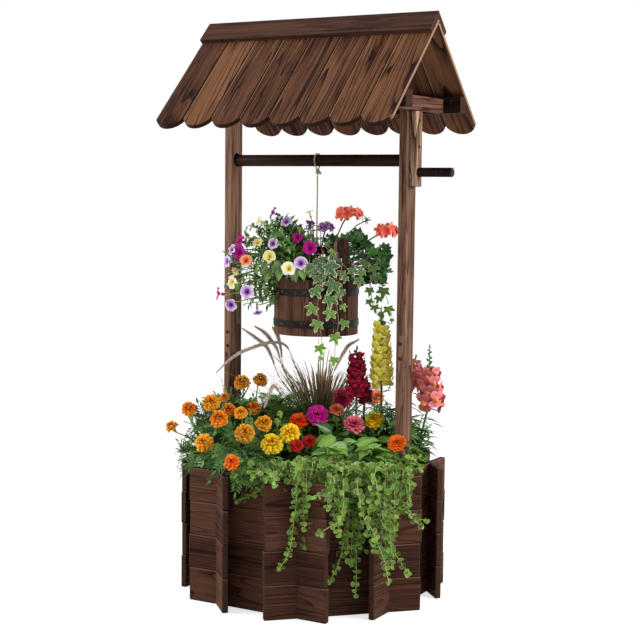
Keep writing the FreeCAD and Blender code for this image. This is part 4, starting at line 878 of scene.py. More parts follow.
# Two tones mixed by each leaf's own tint, ribs and fine mottling; the UV map runs across
# and along each leaf
def leafMaterial(name):
    deep, fresh, rib, *edge = greens[name]
    material, tree = newMaterial(name)
    parts = split(coordinates(tree, "UV"))
    mottle = cloud(coordinates(tree), 260.0, 3.0)
    tone = blended(maths("MULTIPLY_ADD", mottle - 0.5, 0.8, tintOf(tree), clamp=True), deep, fresh)
    if edge:
        veins = between(abs(maths("SINE", parts[0] * (math.pi * 5))), 0.22, 0.02) * 0.55
        rim = between((mottle - 0.5) * 0.35 + parts[1], 0.86, 0.96)
        tone = blended(rim, blended(veins, tone, rib), edge[0])
    else:
        tone = blended(between(abs(parts[0] - 0.5), 0.09, 0.02) * 0.6, tone, rib)
    return surface(material, tone, 0.45, 0.4, bump(mottle, 0.3, 0.0008))


# Petals: colours from the throat outwards, a little darker or paler on each flower
def petalMaterial(name, colours, places=None, spread=0.25):
    material, tree = newMaterial(name)
    colours = colours.split()
    places = places or [i / (len(colours) - 1) for i in range(len(colours))]
    parts = split(coordinates(tree, "UV"))
    streak = maths("SINE", parts[0] * (fullTurn * 24))
    outward = maths("MULTIPLY_ADD", streak, 0.0375, parts[1], clamp=True)
    level = between(tintOf(tree), 0.0, 1.0, 1.0 - spread, 1.0 + spread * 0.4)
    tone = added(tree, "HueSaturation", {"Value": level,
                                         "Color": ramp(outward, *zip(places, colours))})
    return surface(material, tone, 0.5, 0.1, bump(streak, 0.15, 0.0003))


def stemMaterial(name, scale, dark, pale):
    material, tree = newMaterial(name)
    tone = ramp(cloud(coordinates(tree), scale), (0.35, dark), (0.65, pale))
    return surface(material, tone, 0.5)


# The slots of a plant: stems and leaves first, then its petals' colours
def plantedWith(name, bunch, greenery, petals, body, node):
    planted(name, bunch, greenery + [petalMaterial(*row) for row in petals], body,
            [node])


# A smooth route through a few points
def flowing(points, perRun=4):
    points = [Vector(point) for point in points]
    ends = [points[0] * 2 - points[1]] + points + [points[-1] * 2 - points[-2]]
    route = []
    for index in range(1, len(ends) - 2):
        a, b, c, d = ends[index - 1:index + 3]
        for t in (step / perRun for step in range(perRun)):
            route.append(0.5 * (2 * b + (c - a) * t + (2 * a - 5 * b + 4 * c - d) * t * t
                                + (3 * b - a - 3 * c + d) * t ** 3))
    return route + [points[-1]]


def bowed(root, knee, tip, steps):
    return [root.lerp(knee, t).lerp(knee.lerp(tip, t), t)
            for t in (i / steps for i in range(steps + 1))]


# A stalk that leaves the soil upright and bends over to its tip
def stalk(root, tip, rise=0.55):
    root, tip = Vector(root), Vector(tip)
    knee = Vector((root.x, root.y,
                   root.z + (tip.z - root.z) * rise + 0.25 * (tip - root).xy.length))
    return bowed(root, knee, tip, 6)


def jitter(luck, size):
    return Vector([luck.uniform(-size, size) for axis in range(3)])


# Puts leaves along a stalk, one at a time or in pairs, each turned from the last
def leafyStalk(bunch, luck, route, girth, leaves, every, size, spread, pairs=1, first=0.15,
               droop=0.15, tint=(0.2, 0.8), shrink=0.4, facing=None):
    addTube(bunch, route, girth, 5, 0, luck.uniform(*tint))
    steps = [(b - a).length for a, b in zip(route, route[1:])]
    total = sum(steps)
    gone, bearing = first * total, luck.uniform(0, 6.28)
    while gone < total:
        rest, index = gone, 0
        while rest > steps[index] and index < len(steps) - 1:
            rest -= steps[index]
            index += 1
        way = (route[index + 1] - route[index]).normalized()
        spot = route[index].lerp(route[index + 1], min(1.0, rest / steps[index]))
        side = way.orthogonal().normalized()
        for number in range(pairs):
            angle = bearing + fullTurn * number / pairs + luck.uniform(-0.3, 0.3)
            out = swung(side, way.cross(side), angle)
            along = swung(way, out, spread) - up * droop + jitter(luck, 0.15)
            face = facing + jitter(luck, 0.6) if facing else up - out * 0.5 + jitter(luck, 0.3)
            scale = size * (1 - shrink * gone / total) * luck.uniform(0.8, 1.15)
            stamp(bunch, luck.choice(leaves), leafPlace(spot, along, face, scale),
                  luck.uniform(*tint), 1)
        bearing += math.pi / 2 if pairs == 2 else leafTurn
        gone += every * luck.uniform(0.8, 1.2)


# Petals in rings: (how many, how far they stand up, size, height, distance from the middle)
def petalRings(petal, rings, turnEach=0.7, uneven=0.0):
    bunch = newBunch()
    luck = random.Random(len(rings))
    for index, (count, stand, size, height, inset) in enumerate(rings):
        for number in range(count):
            angle = fullTurn * number / count + index * turnEach
            lift = math.radians(stand + luck.uniform(-uneven, uneven))
            out = Vector((math.cos(angle), math.sin(angle), 0))
            swing = 1 + 0.08 * math.sin(number * 2.3 + index)
            stamp(bunch, petal, leafPlace(out * inset + up * height, swung(out, up, lift),
                                          swung(up, -out, lift), size * swing), 0.5, -1)
    return bunch


# A flower: its petals, kept in slot -1, take the colour slot that is asked for
def bloom(bunch, shape, place, tint, petalSlot):
    slots = np.where(shape["slots"] < 0, petalSlot, shape["slots"])
    stamp(bunch, dict(shape, slots=slots), place, tint)


# Keeps a leafy stem behind the flower heads: how near its tip may come at (side, height)
def behindHeads(heads, side, height, near, wide=26, back=24):
    return min([near] + [head[2] - back for head in heads
                         if abs(side - head[0]) < wide and abs(height - head[1] + 6) < wide + 4])


# A green cup under a flower head
def cupShape(name, top, height):
    selectNone()
    bpy.ops.mesh.primitive_cone_add(vertices=8, radius1=top * 0.3, radius2=top, depth=height,
                                    end_fill_type="NOTHING", location=(0, 0, -height / 2))
    cup = named(name)
    bpy.ops.object.transform_apply(location=True)
    return asStamp(cup)


# Stems spread evenly over a disc: share of its radius, and bearing
def sunflower(number, count):
    return math.sqrt((number + 0.5) / count), number * leafTurn


# Marigolds: ruffled heads over a mound of feathery leaves that leans over the left rim.
# Heads: side and height as seen, how near, width, colour slot. Buds and skirt: the first three
# Roots: where they start, what their tips are measured from, share of that way, first rise
marigold = {
    "heads": [(-290, 324, 15, 28, 3), (-256, 362, 5, 31, 4), (-211, 375, 10, 36, 3),
              (-225, 292, 92, 37, 3), (-195, 342, 88, 36, 4), (-149, 417, -60, 34, 3),
              (-111, 422, -95, 31, 3), (-183, 386, -35, 20, 4), (-175, 360, 40, 30, 4),
              (-151, 354, 62, 27, 3), (-124, 364, 20, 30, 4), (-142, 313, 150, 38, 3),
              (-103, 333, 92, 34, 3), (-168, 252, 205, 30, 5), (-87, 292, 165, 41, 6),
              (-50, 314, 110, 40, 6), (-98, 356, -40, 28, 4)],
    "buds": [(-71, 350, 40), (-77, 334, 70), (-146, 300, 120), (-252, 340, 10)],
    "skirt": [(-62, 226, 215), (-150, 222, 205), (-128, 235, 190), (-100, 232, 190),
              (-180, 232, 150), (-210, 238, 90), (-246, 250, 20), (-232, 240, 50),
              (-262, 262, -10), (-84, 238, 195), (-196, 226, 120), (-262, 268, 25),
              (-252, 256, 55), (-226, 264, 105), (-208, 256, 135), (-242, 272, 60),
              (-190, 262, 165), (-172, 250, 185), (-234, 250, 80), (-214, 244, 115),
              (-150, 246, 195), (-132, 250, 195)],
    "stems": 84, "backStems": 22, "headWidth": 34, "middle": (-0.115, -0.085),
    "moundRoots": ((-0.11, -0.08), (-0.13, -0.09), 0.35, 0.7),
    "skirtRoots": ((-0.13, -0.11), (-0.13, -0.11), 0.3, 1.5),
    "rings": [(12, -10, 1.12, 0.0, 0.0076), (11, 10, 1.05, 0.0026, 0.006),
              (9, 28, 1.0, 0.0048, 0.0046), (8, 46, 0.92, 0.0062, 0.0032),
              (6, 62, 0.88, 0.007, 0.0018), (4, 80, 0.8, 0.0074, 0.0007)],
    "petals": [("marigoldAmber", "#983c02 #ee8c0e #ffbc38", (0, 0.45, 0.9)),
               ("marigoldOrange", "#8a2e02 #e26a08 #ffa22c", (0, 0.5, 0.95)),
               ("marigoldFlame", "#7c1c04 #dc480a #fc8428", (0, 0.5, 0.95)),
               ("marigoldYellow", "#c07004 #f5b80a #ffe436", (0, 0.5, 0.95))],
}


def featherShape():
    leaflet = leafShape("marigoldLeaflet", 0.019, 0.0062, pointed, 2, fold=0.3)
    feather = newBunch()
    for number in range(5):
        reach = 0.005 + number * 0.0062
        for side in (-1, 1):
            place = leafPlace((0, reach, -0.12 * reach), (side * 0.8, 0.62, 0.1), up,
                              1.05 - number * 0.09)
            stamp(feather, leaflet, place)
    stamp(feather, leaflet, leafPlace((0, 0.034, -0.004), (0, 1, -0.15), up, 0.9))
    addTube(feather, [(0, 0, 0), (0, 0.018, -0.001), (0, 0.036, -0.004)], (0.0008, 0.0005), 3)
    return asShape(feather)


def addMarigolds():
    luck = random.Random(5)
    feather = featherShape()
    petal = leafShape("marigoldPetal", 0.0096, 0.0074,
                      lambda a: 0.4 + 0.6 * math.sin(math.pi * min(1.0, 0.2 + 0.62 * a)), 3,
                      fold=-0.4, droop=0.36, ruffle=0.1, lanes=4)
    head = asShape(petalRings(petal, marigold["rings"], 0.31, 11.0))
    cup = cupShape("marigoldCup", 0.0062, 0.013)
    bunch = newBunch()

    # the root of a stem, and its way up to the tip
    def rising(tip, start, middle, share, rise):
        root = [a + share * (b - c) for a, b, c in zip(start, tip, middle)]
        return stalk((*root, tubSoil), tip, rise)

    for side, height, near, width, colour in marigold["heads"]:
        tip = seenAt(side, height, near)
        x, y = marigold["middle"]
        facing = (up * 0.8 + towards * (0.95 if height < 320 else 0.4)
                  + across * (side + 150) * 0.003 + jitter(luck, 0.2))
        if side == -290:
            facing = up * 0.8 - across * 0.6
        facing.normalize()
        root = (x + (tip.x - x) / 2, y + (tip.y - y) / 2, tubSoil)
        addTube(bunch, stalk(root, tip - facing * 0.014), (0.0017, 0.0013), 5, 0, 0.4)
        stamp(bunch, cup, flowerPlace(tip - facing * 0.001, facing, 0), 0.6, 0)
        bloom(bunch, head, flowerPlace(tip, facing, luck.uniform(0, 6),
                                       width / marigold["headWidth"]), luck.random(), colour)
    for number in range(marigold["stems"]):
        share, bearing = sunflower(number, marigold["stems"])
        side = -160 + 112 * share * math.cos(bearing)
        near = 12 + 118 * share * math.sin(bearing)
        height = 262 + 118 * (1 - share ** 2.4) ** 0.6 + luck.uniform(-14, 12) + 0.1 * (side + 160)
        if near > 60:
            height = min(height, 330 - 0.35 * (near - 60))
        tip = seenAt(side, height, behindHeads(marigold["heads"], side, height, near))
        leafyStalk(bunch, luck, rising(tip, *marigold["moundRoots"]), (0.0017, 0.001), [feather],
                   0.0105, luck.uniform(0.85, 1.15), 1.0, first=0.25, tint=(0.05, 0.9), shrink=0.1)
    for spot in marigold["buds"]:
        tip = seenAt(*spot)
        addTube(bunch, stalk((tip.x * 0.9, tip.y * 0.9, tubSoil), tip), (0.0012, 0.001))
        stamp(bunch, cup, flowerPlace(tip + up * 0.006, up + jitter(luck, 0.3), 0), 0.8, 0)
        bloom(bunch, head, flowerPlace(tip + up * 0.004, up + jitter(luck, 0.3), 0, 0.34), 0.7, 6)
    for number in range(marigold["backStems"]):
        tip = seenAt(-112 + 84 * luck.random(), 335 + 58 * luck.random(), luck.uniform(-60, 25))
        leafyStalk(bunch, luck, stalk((tip.x * 0.8, tip.y * 0.8 - 0.01, tubSoil), tip, 0.7),
                   (0.0016, 0.001), [feather], 0.0105, 1.0, 1.0, first=0.25, tint=(0.1, 1.0),
                   shrink=0.1)
    for spot in marigold["skirt"]:
        leafyStalk(bunch, luck, rising(seenAt(*spot), *marigold["skirtRoots"]), (0.0016, 0.001),
                   [feather], 0.011, 1.15, 0.9, first=0.35, droop=0.4, tint=(0.05, 0.7), shrink=0.1)
    plantedWith("marigoldPlants", bunch, [leafMaterial("marigoldLeaf")] * 3, marigold["petals"],
                "frame", "marigolds")


# Zinnias: layered heads round a ring of yellow stars, over broad leaves in pairs
# Rows of leafy stems, back from the rim: how near, and how high. Fronts: single leaves
zinnia = {
    "heads": [(-33, 338, 60, 37, 3), (5, 351, 55, 44, 4), (-37, 288, 125, 27, 5),
              (-12, 297, 115, 28, 5), (55, 385, 10, 42, 6), (44, 362, 45, 30, 7),
              (124, 390, 10, 33, 7), (80, 332, 95, 43, 8), (121, 341, 88, 40, 9),
              (167, 295, 138, 37, 10)],
    "rows": [(150, 284), (75, 306), (20, 330), (-35, 345)], "stems": 66, "fronts": 84,
    "headWidth": 42,
    "rings": [(15, -14, 1.32, 0.001, 0.004), (14, 2, 1.22, 0.0032, 0.004),
              (13, 16, 1.05, 0.0052, 0.0035), (11, 32, 0.85, 0.0068, 0.003),
              (8, 52, 0.62, 0.0078, 0.0025)],
    "petals": [("zinniaScarlet", "#8e1b05 #d63a0c #e8541a"),
               ("zinniaMagenta", "#8c0a5c #c50f86 #dc2fa2"),
               ("zinniaRed", "#7c0a0c #bf1318 #e03a34"),
               ("zinniaCrimson", "#74082f #b3124c #cf3468"),
               ("zinniaSalmon", "#b04422 #e8734e #f59a78"),
               ("zinniaPink", "#a81f3c #e0506e #f48c98"),
               ("zinniaYellow", "#d08206 #ffc20e #ffdc2c"),
               ("zinniaOrange", "#a8340a #e75d14 #f57f28")],
}


def addZinnias():
    luck = random.Random(8)
    petal = leafShape("zinniaPetal", 0.013, 0.0066, spoon, 3, fold=0.22, droop=-0.1)
    star = leafShape("zinniaStar", 0.0022, 0.0012, pointed, 1)
    rings = petalRings(petal, zinnia["rings"], uneven=5.0)
    centre = asShape(petalRings(star, [(5, 30, 1.0, 0.0, 0.0)]))
    for number in range(9):
        spot = Vector((0.0026 * math.cos(number * 0.7), 0.0026 * math.sin(number * 0.7), 0.0135))
        stamp(rings, centre, flowerPlace(spot, spot * 0.5 + up * 0.004, number, 1.3), 0.5, 2)
    head = asShape(rings)
    leaf = leafShape("zinniaLeaf", 0.052, 0.027, pointed, 5, fold=0.3, droop=0.3, ruffle=0.06)
    cup = cupShape("zinniaCup", 0.0075, 0.008)
    bunch = newBunch()
    for side, height, near, width, colour in zinnia["heads"]:
        tip = seenAt(side, height, near)
        root = (tip.x * 0.85 + 0.01, max(tip.y * 0.85 + 0.005, -0.175), tubSoil)
        facing = (up * 0.62 + towards * 0.6 + jitter(luck, 0.22)).normalized()
        leafyStalk(bunch, luck, stalk(root, tip - facing * 0.009), (0.0022, 0.0016), [leaf],
                   0.03, 0.95, 1.15, pairs=2, first=0.3, tint=(0.3, 0.9), shrink=0.45)
        stamp(bunch, cup, flowerPlace(tip, facing, 0), 0.5, 0)
        bloom(bunch, head, flowerPlace(tip - facing * 0.001, facing, luck.uniform(0, 6),
                                       width / zinnia["headWidth"]), luck.random(), colour)
    for number in range(zinnia["stems"]):
        row, place = divmod(number, 17)
        side = -45 + 240 * place / 16 + luck.uniform(-8, 8)
        near = min(zinnia["rows"][row][0] + luck.uniform(-30, 25), 190 - 0.27 * side)
        height = zinnia["rows"][row][1] + luck.uniform(-16, 14)
        near = behindHeads(zinnia["heads"], side, height, near, 28, 26)
        if side < -20 and row > 1:
            continue
        tip = seenAt(side, height, near)
        leafyStalk(bunch, luck, stalk((tip.x * 0.95, tip.y * 0.92, tubSoil), tip), (0.002, 0.0014),
                   [leaf], 0.017, luck.uniform(0.75, 1.05), 1.15, pairs=2, first=0.25,
                   tint=(0.15, 0.95), shrink=0.3)
    for number in range(zinnia["fronts"]):
        side = luck.uniform(-28, 196)
        height = luck.uniform(256, 345)
        near = 188 - 0.27 * side - (height - 256) * 1.15 - luck.uniform(0, 22)
        if any(abs(side - head[0]) < 33 and abs(height - head[1] + 4) < 28
               for head in zinnia["heads"]):
            continue
        spot = seenAt(side, height, near)
        along = across * luck.uniform(-1, 1) + up * luck.uniform(-0.75, 0.35) + towards * 0.35
        face = towards * 0.85 + up * 0.6 + jitter(luck, 0.4)
        stamp(bunch, leaf, leafPlace(spot, along, face, luck.uniform(0.55, 0.9)),
              luck.uniform(-0.1, 1.1), 1)
        addTube(bunch, stalk((spot.x * 0.95, spot.y * 0.9, 0.24), spot), (0.0016, 0.0012), 4)
    stars = petalMaterial("zinniaStars", "#a06a08 #f4cc2a")
    plantedWith("zinniaPlants", bunch, [leafMaterial("zinniaLeafGreen")] * 2 + [stars],
                zinnia["petals"], "frame", "zinnias")


# Fountain grass: arching blades from one tuft and a few soft plumes
grass = {"middle": (-0.018, 0.052, 0.232), "blades": 700, "hairs": 230, "dark": "#3b2a1c",
         "mid": "#5f4734", "pale": "#b49a78", "green": "#76823a", "plume": "#a58273",
         "plumePale": "#efe0d2",
         "underBucket": 0.478, "underIvy": 0.45, "leftMost": -0.262,
         "plumes": [((-45, 462, 10), (-60, 491, 20), (-82, 498, 20), (-104, 495, 20),
                     (-131, 486, 22), (-153, 476, 25), (-177, 459, 28), (-199, 437, 30)),
                    ((-74, 430, -10), (-88, 466, -10), (-100, 489, -10), (-121, 507, -10),
                     (-147, 525, -10)),
                    ((-64, 440, 0), (-76, 479, 0), (-88, 499, 0), (-103, 517, 0), (-121, 529, 0)),
                    ((-62, 440, -30), (-70, 483, -30), (-74, 501, -30), (-78, 513, -30),
                     (-86, 527, -30)),
                    ((-62, 380, 30), (-80, 407, 45), (-90, 399, 55), (-97, 386, 62),
                     (-102, 368, 70)),
                    ((30, 420, -70), (43, 452, -75), (55, 476, -80), (67, 493, -80),
                     (85, 505, -80))]}


def ribbon(bunch, route, width, tint):
    rows = []
    for index, (spot, way) in enumerate(zip(route, directions(route))):
        side = way.cross(up)
        side = side.normalized() if side.length > 0.05 else Vector((1, 0, 0))
        half = width / 2 * (1 - (index / (len(route) - 1)) ** 6 * 0.9)
        lift = side.cross(way) * half * 0.25
        rows.append([spot - side * half + lift, spot, spot + side * half + lift])
    addStrip(bunch, rows, 0, tint, False)


def addGrass():
    luck = random.Random(3)
    middle = Vector(grass["middle"])
    bunch = newBunch()
    for number in range(grass["blades"]):
        bearing = luck.uniform(0, fullTurn)
        out = Vector((math.cos(bearing), math.sin(bearing), 0))
        root = middle + out * luck.uniform(0.0, 0.026)
        height = luck.uniform(0.1, 0.285)
        reach = (luck.uniform(0.035, 0.2 - 0.3 * abs(height - 0.17))
                 * (0.7 + 0.45 * abs(out.dot(across))))
        if out.dot(across) < -0.2:
            reach *= 1.3
        if out.dot(towards) > 0.3:
            reach *= 0.7
        tip = root + out * reach + up * (height - luck.uniform(0.1, 0.7) * reach)
        # the hanging ivy swings over the middle, and the bucket over what is left of it
        most = grass["underIvy" if -0.03 < tip.x < 0.09 else "underBucket"]
        if abs(tip.x) < 0.11:
            tip.z = min(tip.z, most - luck.uniform(0.0, 0.05))
        tip.x = max(grass["leftMost"], tip.x)
        knee = root + out * reach * luck.uniform(0.15, 0.35) + up * (tip.z - root.z) * 0.85
        ribbon(bunch, bowed(root, knee, tip, 8), luck.uniform(0.0018, 0.0034), luck.random())
    hair = leafShape("plumeHair", 0.0125, 0.0011, pointed, 2, droop=0.2, lanes=1)
    for spots in grass["plumes"]:
        spots = [seenAt(*spot) for spot in spots]
        route = flowing([middle, middle.lerp(spots[0], 0.5) + up * 0.03] + spots, 6)
        addTube(bunch, route, (0.0009, 0.0005), 4, 0, 0.9)
        tail = route[15:]
        hairs = grass["hairs"] * len(spots)
        for step in range(hairs):
            place = step / hairs * (len(tail) - 1.001)
            low, high = tail[int(place)], tail[int(place) + 1]
            way = (high - low).normalized()
            side = way.orthogonal().normalized()
            out = swung(side, way.cross(side), step * leafTurn)
            scale = 0.4 + 0.6 * math.sin(math.pi * min(1.0, step / hairs * 0.9 + 0.1))
            along = way + out * luck.uniform(0.35, 0.8)
            stamp(bunch, hair, leafPlace(low.lerp(high, place % 1), along, out, scale),
                  luck.random(), 1)
    blades, tree = newMaterial("grassBlade")
    lower = blended(tintOf(tree), grass["green"], grass["dark"])
    upper = blended(tintOf(tree), grass["mid"], grass["pale"])
    along = split(coordinates(tree, "UV"))[1]
    surface(blades, blended(between(along, 0.3, 0.85), lower, upper), 0.5)
    plume, tree = newMaterial("grassPlume")
    surface(plume, blended(tintOf(tree), grass["plume"], grass["plumePale"]), 0.8,
            more={"Sheen Weight": 0.4})
    plantedWith("fountainGrass", bunch, [blades, plume], [], "frame", "fountain_grass")


# Snapdragons: spikes of two-lipped flowers with buds above and lance leaves below.
# Spikes: root, foot and top of the flowers, size, colour slots of lips and palate, buds
# Tufts: root, stems, height
snapdragon = {
    "spikes": [((0.106, -0.024), (84, 396, 74), (83, 478, 74), 1.15, 3, 3, 1),
               ((0.112, -0.006), (100, 384, 60), (102, 416, 60), 0.8, 3, 3, 1),
               ((0.148, 0.006), (134, 420, 68), (132, 540, 66), 1.2, 4, 5, 2),
               ((0.185, 0.098), (233, 378, 0), (231, 450, 0), 1.5, 6, 7, 3),
               ((0.12, 0.13), (201, 415, -45), (202, 462, -45), 0.9, 6, 7, 1)],
    "tufts": [((0.112, -0.012), 14, 0.35), ((0.148, 0.006), 20, 0.39), ((0.178, 0.095), 24, 0.37),
              ((0.12, 0.13), 10, 0.37), ((0.165, 0.055), 12, 0.35), ((0.13, 0.03), 12, 0.37)],
    "red": 3, "palate": 9,
    "petals": [("snapdragonRed", "#4c0413 #840b26 #b01c40"),
               ("snapdragonPale", "#f4dc14 #fdf24a #fffbb4", None, 0.1),
               ("snapdragonYellow", "#f8d410 #fff02c", None, 0.1),
               ("snapdragonPink", "#ec9450 #ea7084 #f8a2ac", (0, 0.4, 1)),
               ("snapdragonPalate", "#f08c1c #f6a436")],
}


def floretShape():
    lobe = leafShape("snapdragonLobe", 0.0105, 0.0105,
                     lambda a: 0.45 + 0.55 * math.sin(math.pi * min(1, a)) + 0.1,
                     3, droop=0.3, ruffle=0.22, lanes=3)
    floret = newBunch()
    lobes = [((side * 0.002, 0.003, 0.006), (side * 0.45, 1, 0.25), (0, -0.2, 1), 0.95)
             for side in (-1, 1)]
    lobes += [((side * 0.0025, -0.002, 0.006), (side * 0.8, -1, 0.3), (0, 0.3, 1), 0.8)
              for side in (-1, 0, 1)]
    for place in lobes:
        stamp(floret, lobe, leafPlace(*place), 0.5, -1)
    palate = ball("snapdragonPalate", 0.0034, (0, 0.0002, 0.0075))
    bpy.ops.object.transform_apply(location=True)
    stamp(floret, asStamp(palate), Matrix(), 0.5, snapdragon["palate"])
    addTube(floret, [(0, 0, -0.007), (0, 0, 0), (0, 0.0005, 0.007)], (0.0022, 0.0042), 6, -1)
    return asShape(floret)


def addSnapdragons():
    luck = random.Random(21)
    floret = floretShape()
    bud = ball("snapdragonBud", 0.0032)
    for vertex in bud.data.vertices:
        vertex.co.z *= 1.4
    bud = asStamp(bud)
    lance = leafShape("lanceLeaf", 0.042, 0.009, pointed, 4, fold=0.3, droop=0.3)
    bunch = newBunch()
    for (x, y), foot, top, size, lips, palateSlot, buds in snapdragon["spikes"]:
        foot, top = seenAt(*foot), seenAt(*top)
        tip = top + (top - foot).normalized() * 0.016 * buds
        leafyStalk(bunch, luck, stalk((x, y, tubSoil), foot, 0.5), (0.0028, 0.0024), [lance],
                   0.0075, 1.0, 1.1, first=0.1, tint=(0.1, 0.8), shrink=0.35)
        addTube(bunch, [foot, foot.lerp(top, 0.5), top, tip], (0.0022, 0.0009), 5, 0, 0.6)
        slots = np.where(floret["slots"] == snapdragon["palate"], palateSlot, floret["slots"])
        count = round((top - foot).length / (0.0027 * size))
        for number in range(count):
            share = number / count
            out = swung(across, towards, number * leafTurn + luck.uniform(-0.2, 0.2)).normalized()
            place = foot.lerp(top, share) + out * 0.0088 * size * (1 - 0.35 * share)
            bloom(bunch, dict(floret, slots=slots),
                  leafPlace(place, up + out * 0.35, out - up * 0.1, size * (1.15 - 0.4 * share)),
                  luck.random(), lips)
        for number in range(4 * buds):
            share = number / (4 * buds)
            out = swung(across, towards, number * leafTurn).normalized()
            place = top.lerp(tip, share) + out * 0.005 * (1 - 0.6 * share)
            stamp(bunch, bud, flowerPlace(place, out + up, 0, 1.15 - 0.75 * share),
                  0.6 + 0.4 * luck.random(), lips if lips == snapdragon["red"] else 0)
    for (x, y), count, high in snapdragon["tufts"]:
        for number in range(count):
            reach = 0.018 + 0.022 * luck.random()
            tip = (x + reach * math.cos(number * leafTurn), y + reach * math.sin(number * leafTurn),
                   high - 0.08 * luck.random())
            leafyStalk(bunch, luck, stalk((x, y, tubSoil), tip), (0.002, 0.0012), [lance],
                       0.009, luck.uniform(0.8, 1.1), 1.0, first=0.3, tint=(0.05, 0.85), shrink=0.2)
    plantedWith("snapdragonPlants", bunch, [leafMaterial("snapdragonLeaf")] * 3,
                snapdragon["petals"], "frame", "snapdragons")


# Creeping jenny: round leaves in pairs on pale stems, a mat inside the front rim and
# strands over it. Strands: the plane that they hang on, how far it stands out, and points
# (side, height) from the rim down. Curtain: side, and how low a strand hangs
jenny = {
    "planes": {"near": towards, "front": Vector((0, -1, 0)), "right": Vector((0.7071, -0.7071, 0))},
    "strands": [
        ("front", 232, [(-60, 240), (-75, 232), (-102, 204), (-130, 184), (-156, 173)]),
        ("front", 234, [(-40, 236), (-56, 204), (-75, 185), (-91, 168)]),
        ("right", 232, [(-25, 248), (-31, 210), (-40, 143), (-49, 70), (-70, 32)]),
        ("right", 232, [(-5, 240), (-17, 177), (-12, 149), (-14, 110), (-20, 77)]),
        ("near", 285, [(40, 210), (32, 194), (19, 186), (-2, 184)]),
        ("near", 285, [(60, 190), (55, 138), (33, 121), (12, 107)]),
        ("right", 240, [(66, 200), (63, 110), (60, 82), (50, 40), (33, 7)]),
        ("right", 242, [(78, 200), (80, 122), (86, 94), (88, 23), (87, -20)]),
        ("right", 245, [(84, 180), (88, 85), (105, 74), (126, 60)]),
        ("near", 285, [(90, 190), (102, 139), (118, 117), (144, 52), (154, 7)]),
        ("near", 275, [(130, 190), (146, 122), (157, 95), (159, 41)]),
        ("near", 265, [(130, 180), (140, 117), (155, 89), (172, 58), (194, 26)]),
        ("near", 255, [(150, 215), (170, 179), (184, 159), (201, 140), (217, 125)]),
        ("near", 250, [(160, 210), (181, 173), (206, 143), (231, 136)]),
        ("right", 232, [(150, 240), (172, 221), (195, 215)]),
        ("right", 222, [(150, 240), (169, 237), (195, 244)])],
    "curtain": [(-36, 150), (-24, 120), (-12, 130), (4, 180), (20, 176), (30, 160), (42, 130),
                (54, 110), (64, 95), (74, 70), (84, 50), (92, 90), (104, 120), (114, 100),
                (124, 90), (134, 80), (144, 70), (154, 66), (164, 90), (174, 120), (184, 150)],
    "mat": 90, "every": 0.0118,
}


def addJenny():
    luck = random.Random(14)
    leaf = roundShape("jennyLeaf",
                      lambda b: 0.0069 * (1 - 0.12 * math.exp(-((b + math.pi / 2) * 2) ** 2)),
                      lambda b, s: 0.0012 * s * s, 12, (0.7,), 0.0071)
    bunch = newBunch()
    outward = (towards + up * 0.35).normalized()

    def strand(points, size):
        leafyStalk(bunch, luck, flowing(points), (0.0011, 0.0007), [leaf], jenny["every"], size,
                   1.35, pairs=2, first=0.05, droop=0.1, tint=(0.0, 0.9), shrink=0.35,
                   facing=outward)
        for number in range(4):
            place = leafPlace(points[-1], jitter(luck, 1.0) - up * 0.4, outward + jitter(luck, 0.5),
                              luck.uniform(0.4, 0.65))
            stamp(bunch, leaf, place, luck.uniform(0.85, 1.0), 1)

    for plane, out, points in jenny["strands"]:
        points = [seenAt(*point, out, jenny["planes"][plane]) for point in points]
        rim = points[0]
        over = Vector((rim.x * 0.96, rim.y * 0.96, max(0.272, rim.z + 0.01)))
        strand([Vector((rim.x * 0.86, rim.y * 0.86, 0.24)), over] + points, 1.0)
    for number, (side, low) in enumerate(jenny["curtain"] * 2):
        second = number >= len(jenny["curtain"])
        side += 6 if second else 0
        low += (38 if second else 0) + luck.uniform(-8, 8)
        tail = 26 < side < 62 or side > 112
        near = (275 - max(0, side) * 0.14 if tail else 238 - 0.2 * side) + luck.uniform(-3, 14)
        top = seenAt(side + luck.uniform(-6, 6), 242, near - 20)
        drift = luck.uniform(-9, 9)
        strand([Vector((top.x * 0.8, top.y * 0.8, 0.238)),
                Vector((top.x * 0.93, top.y * 0.93, 0.277)), top,
                seenAt(side + drift * 0.5, (240 + low) / 2, near),
                seenAt(side + drift, low, near + 3)], luck.uniform(0.9, 1.12))
    for number in range(jenny["mat"]):
        side = -100 + 300 * ((number * 0.618) % 1)
        start = seenAt(side, 240, 205 - 0.27 * side - luck.uniform(5, 75))
        start.z = 0.236
        heading = Vector((luck.uniform(-1, 1), luck.uniform(-1, 0.3), 0)).normalized()
        height = 0.02 + 0.03 * luck.random()
        strand([start + heading * reach + up * height * lift
                for reach, lift in ((0, 0), (0.018, 1), (0.042, 1.1), (0.065, 0.8))],
               luck.uniform(0.85, 1.1))
    stem = stemMaterial("jennyStem", 300.0, "#a59455", "#c6c07a")
    plantedWith("creepingJenny", bunch, [stem, leafMaterial("jennyLeafGreen")], [], "frame",
                "creeping_jenny")


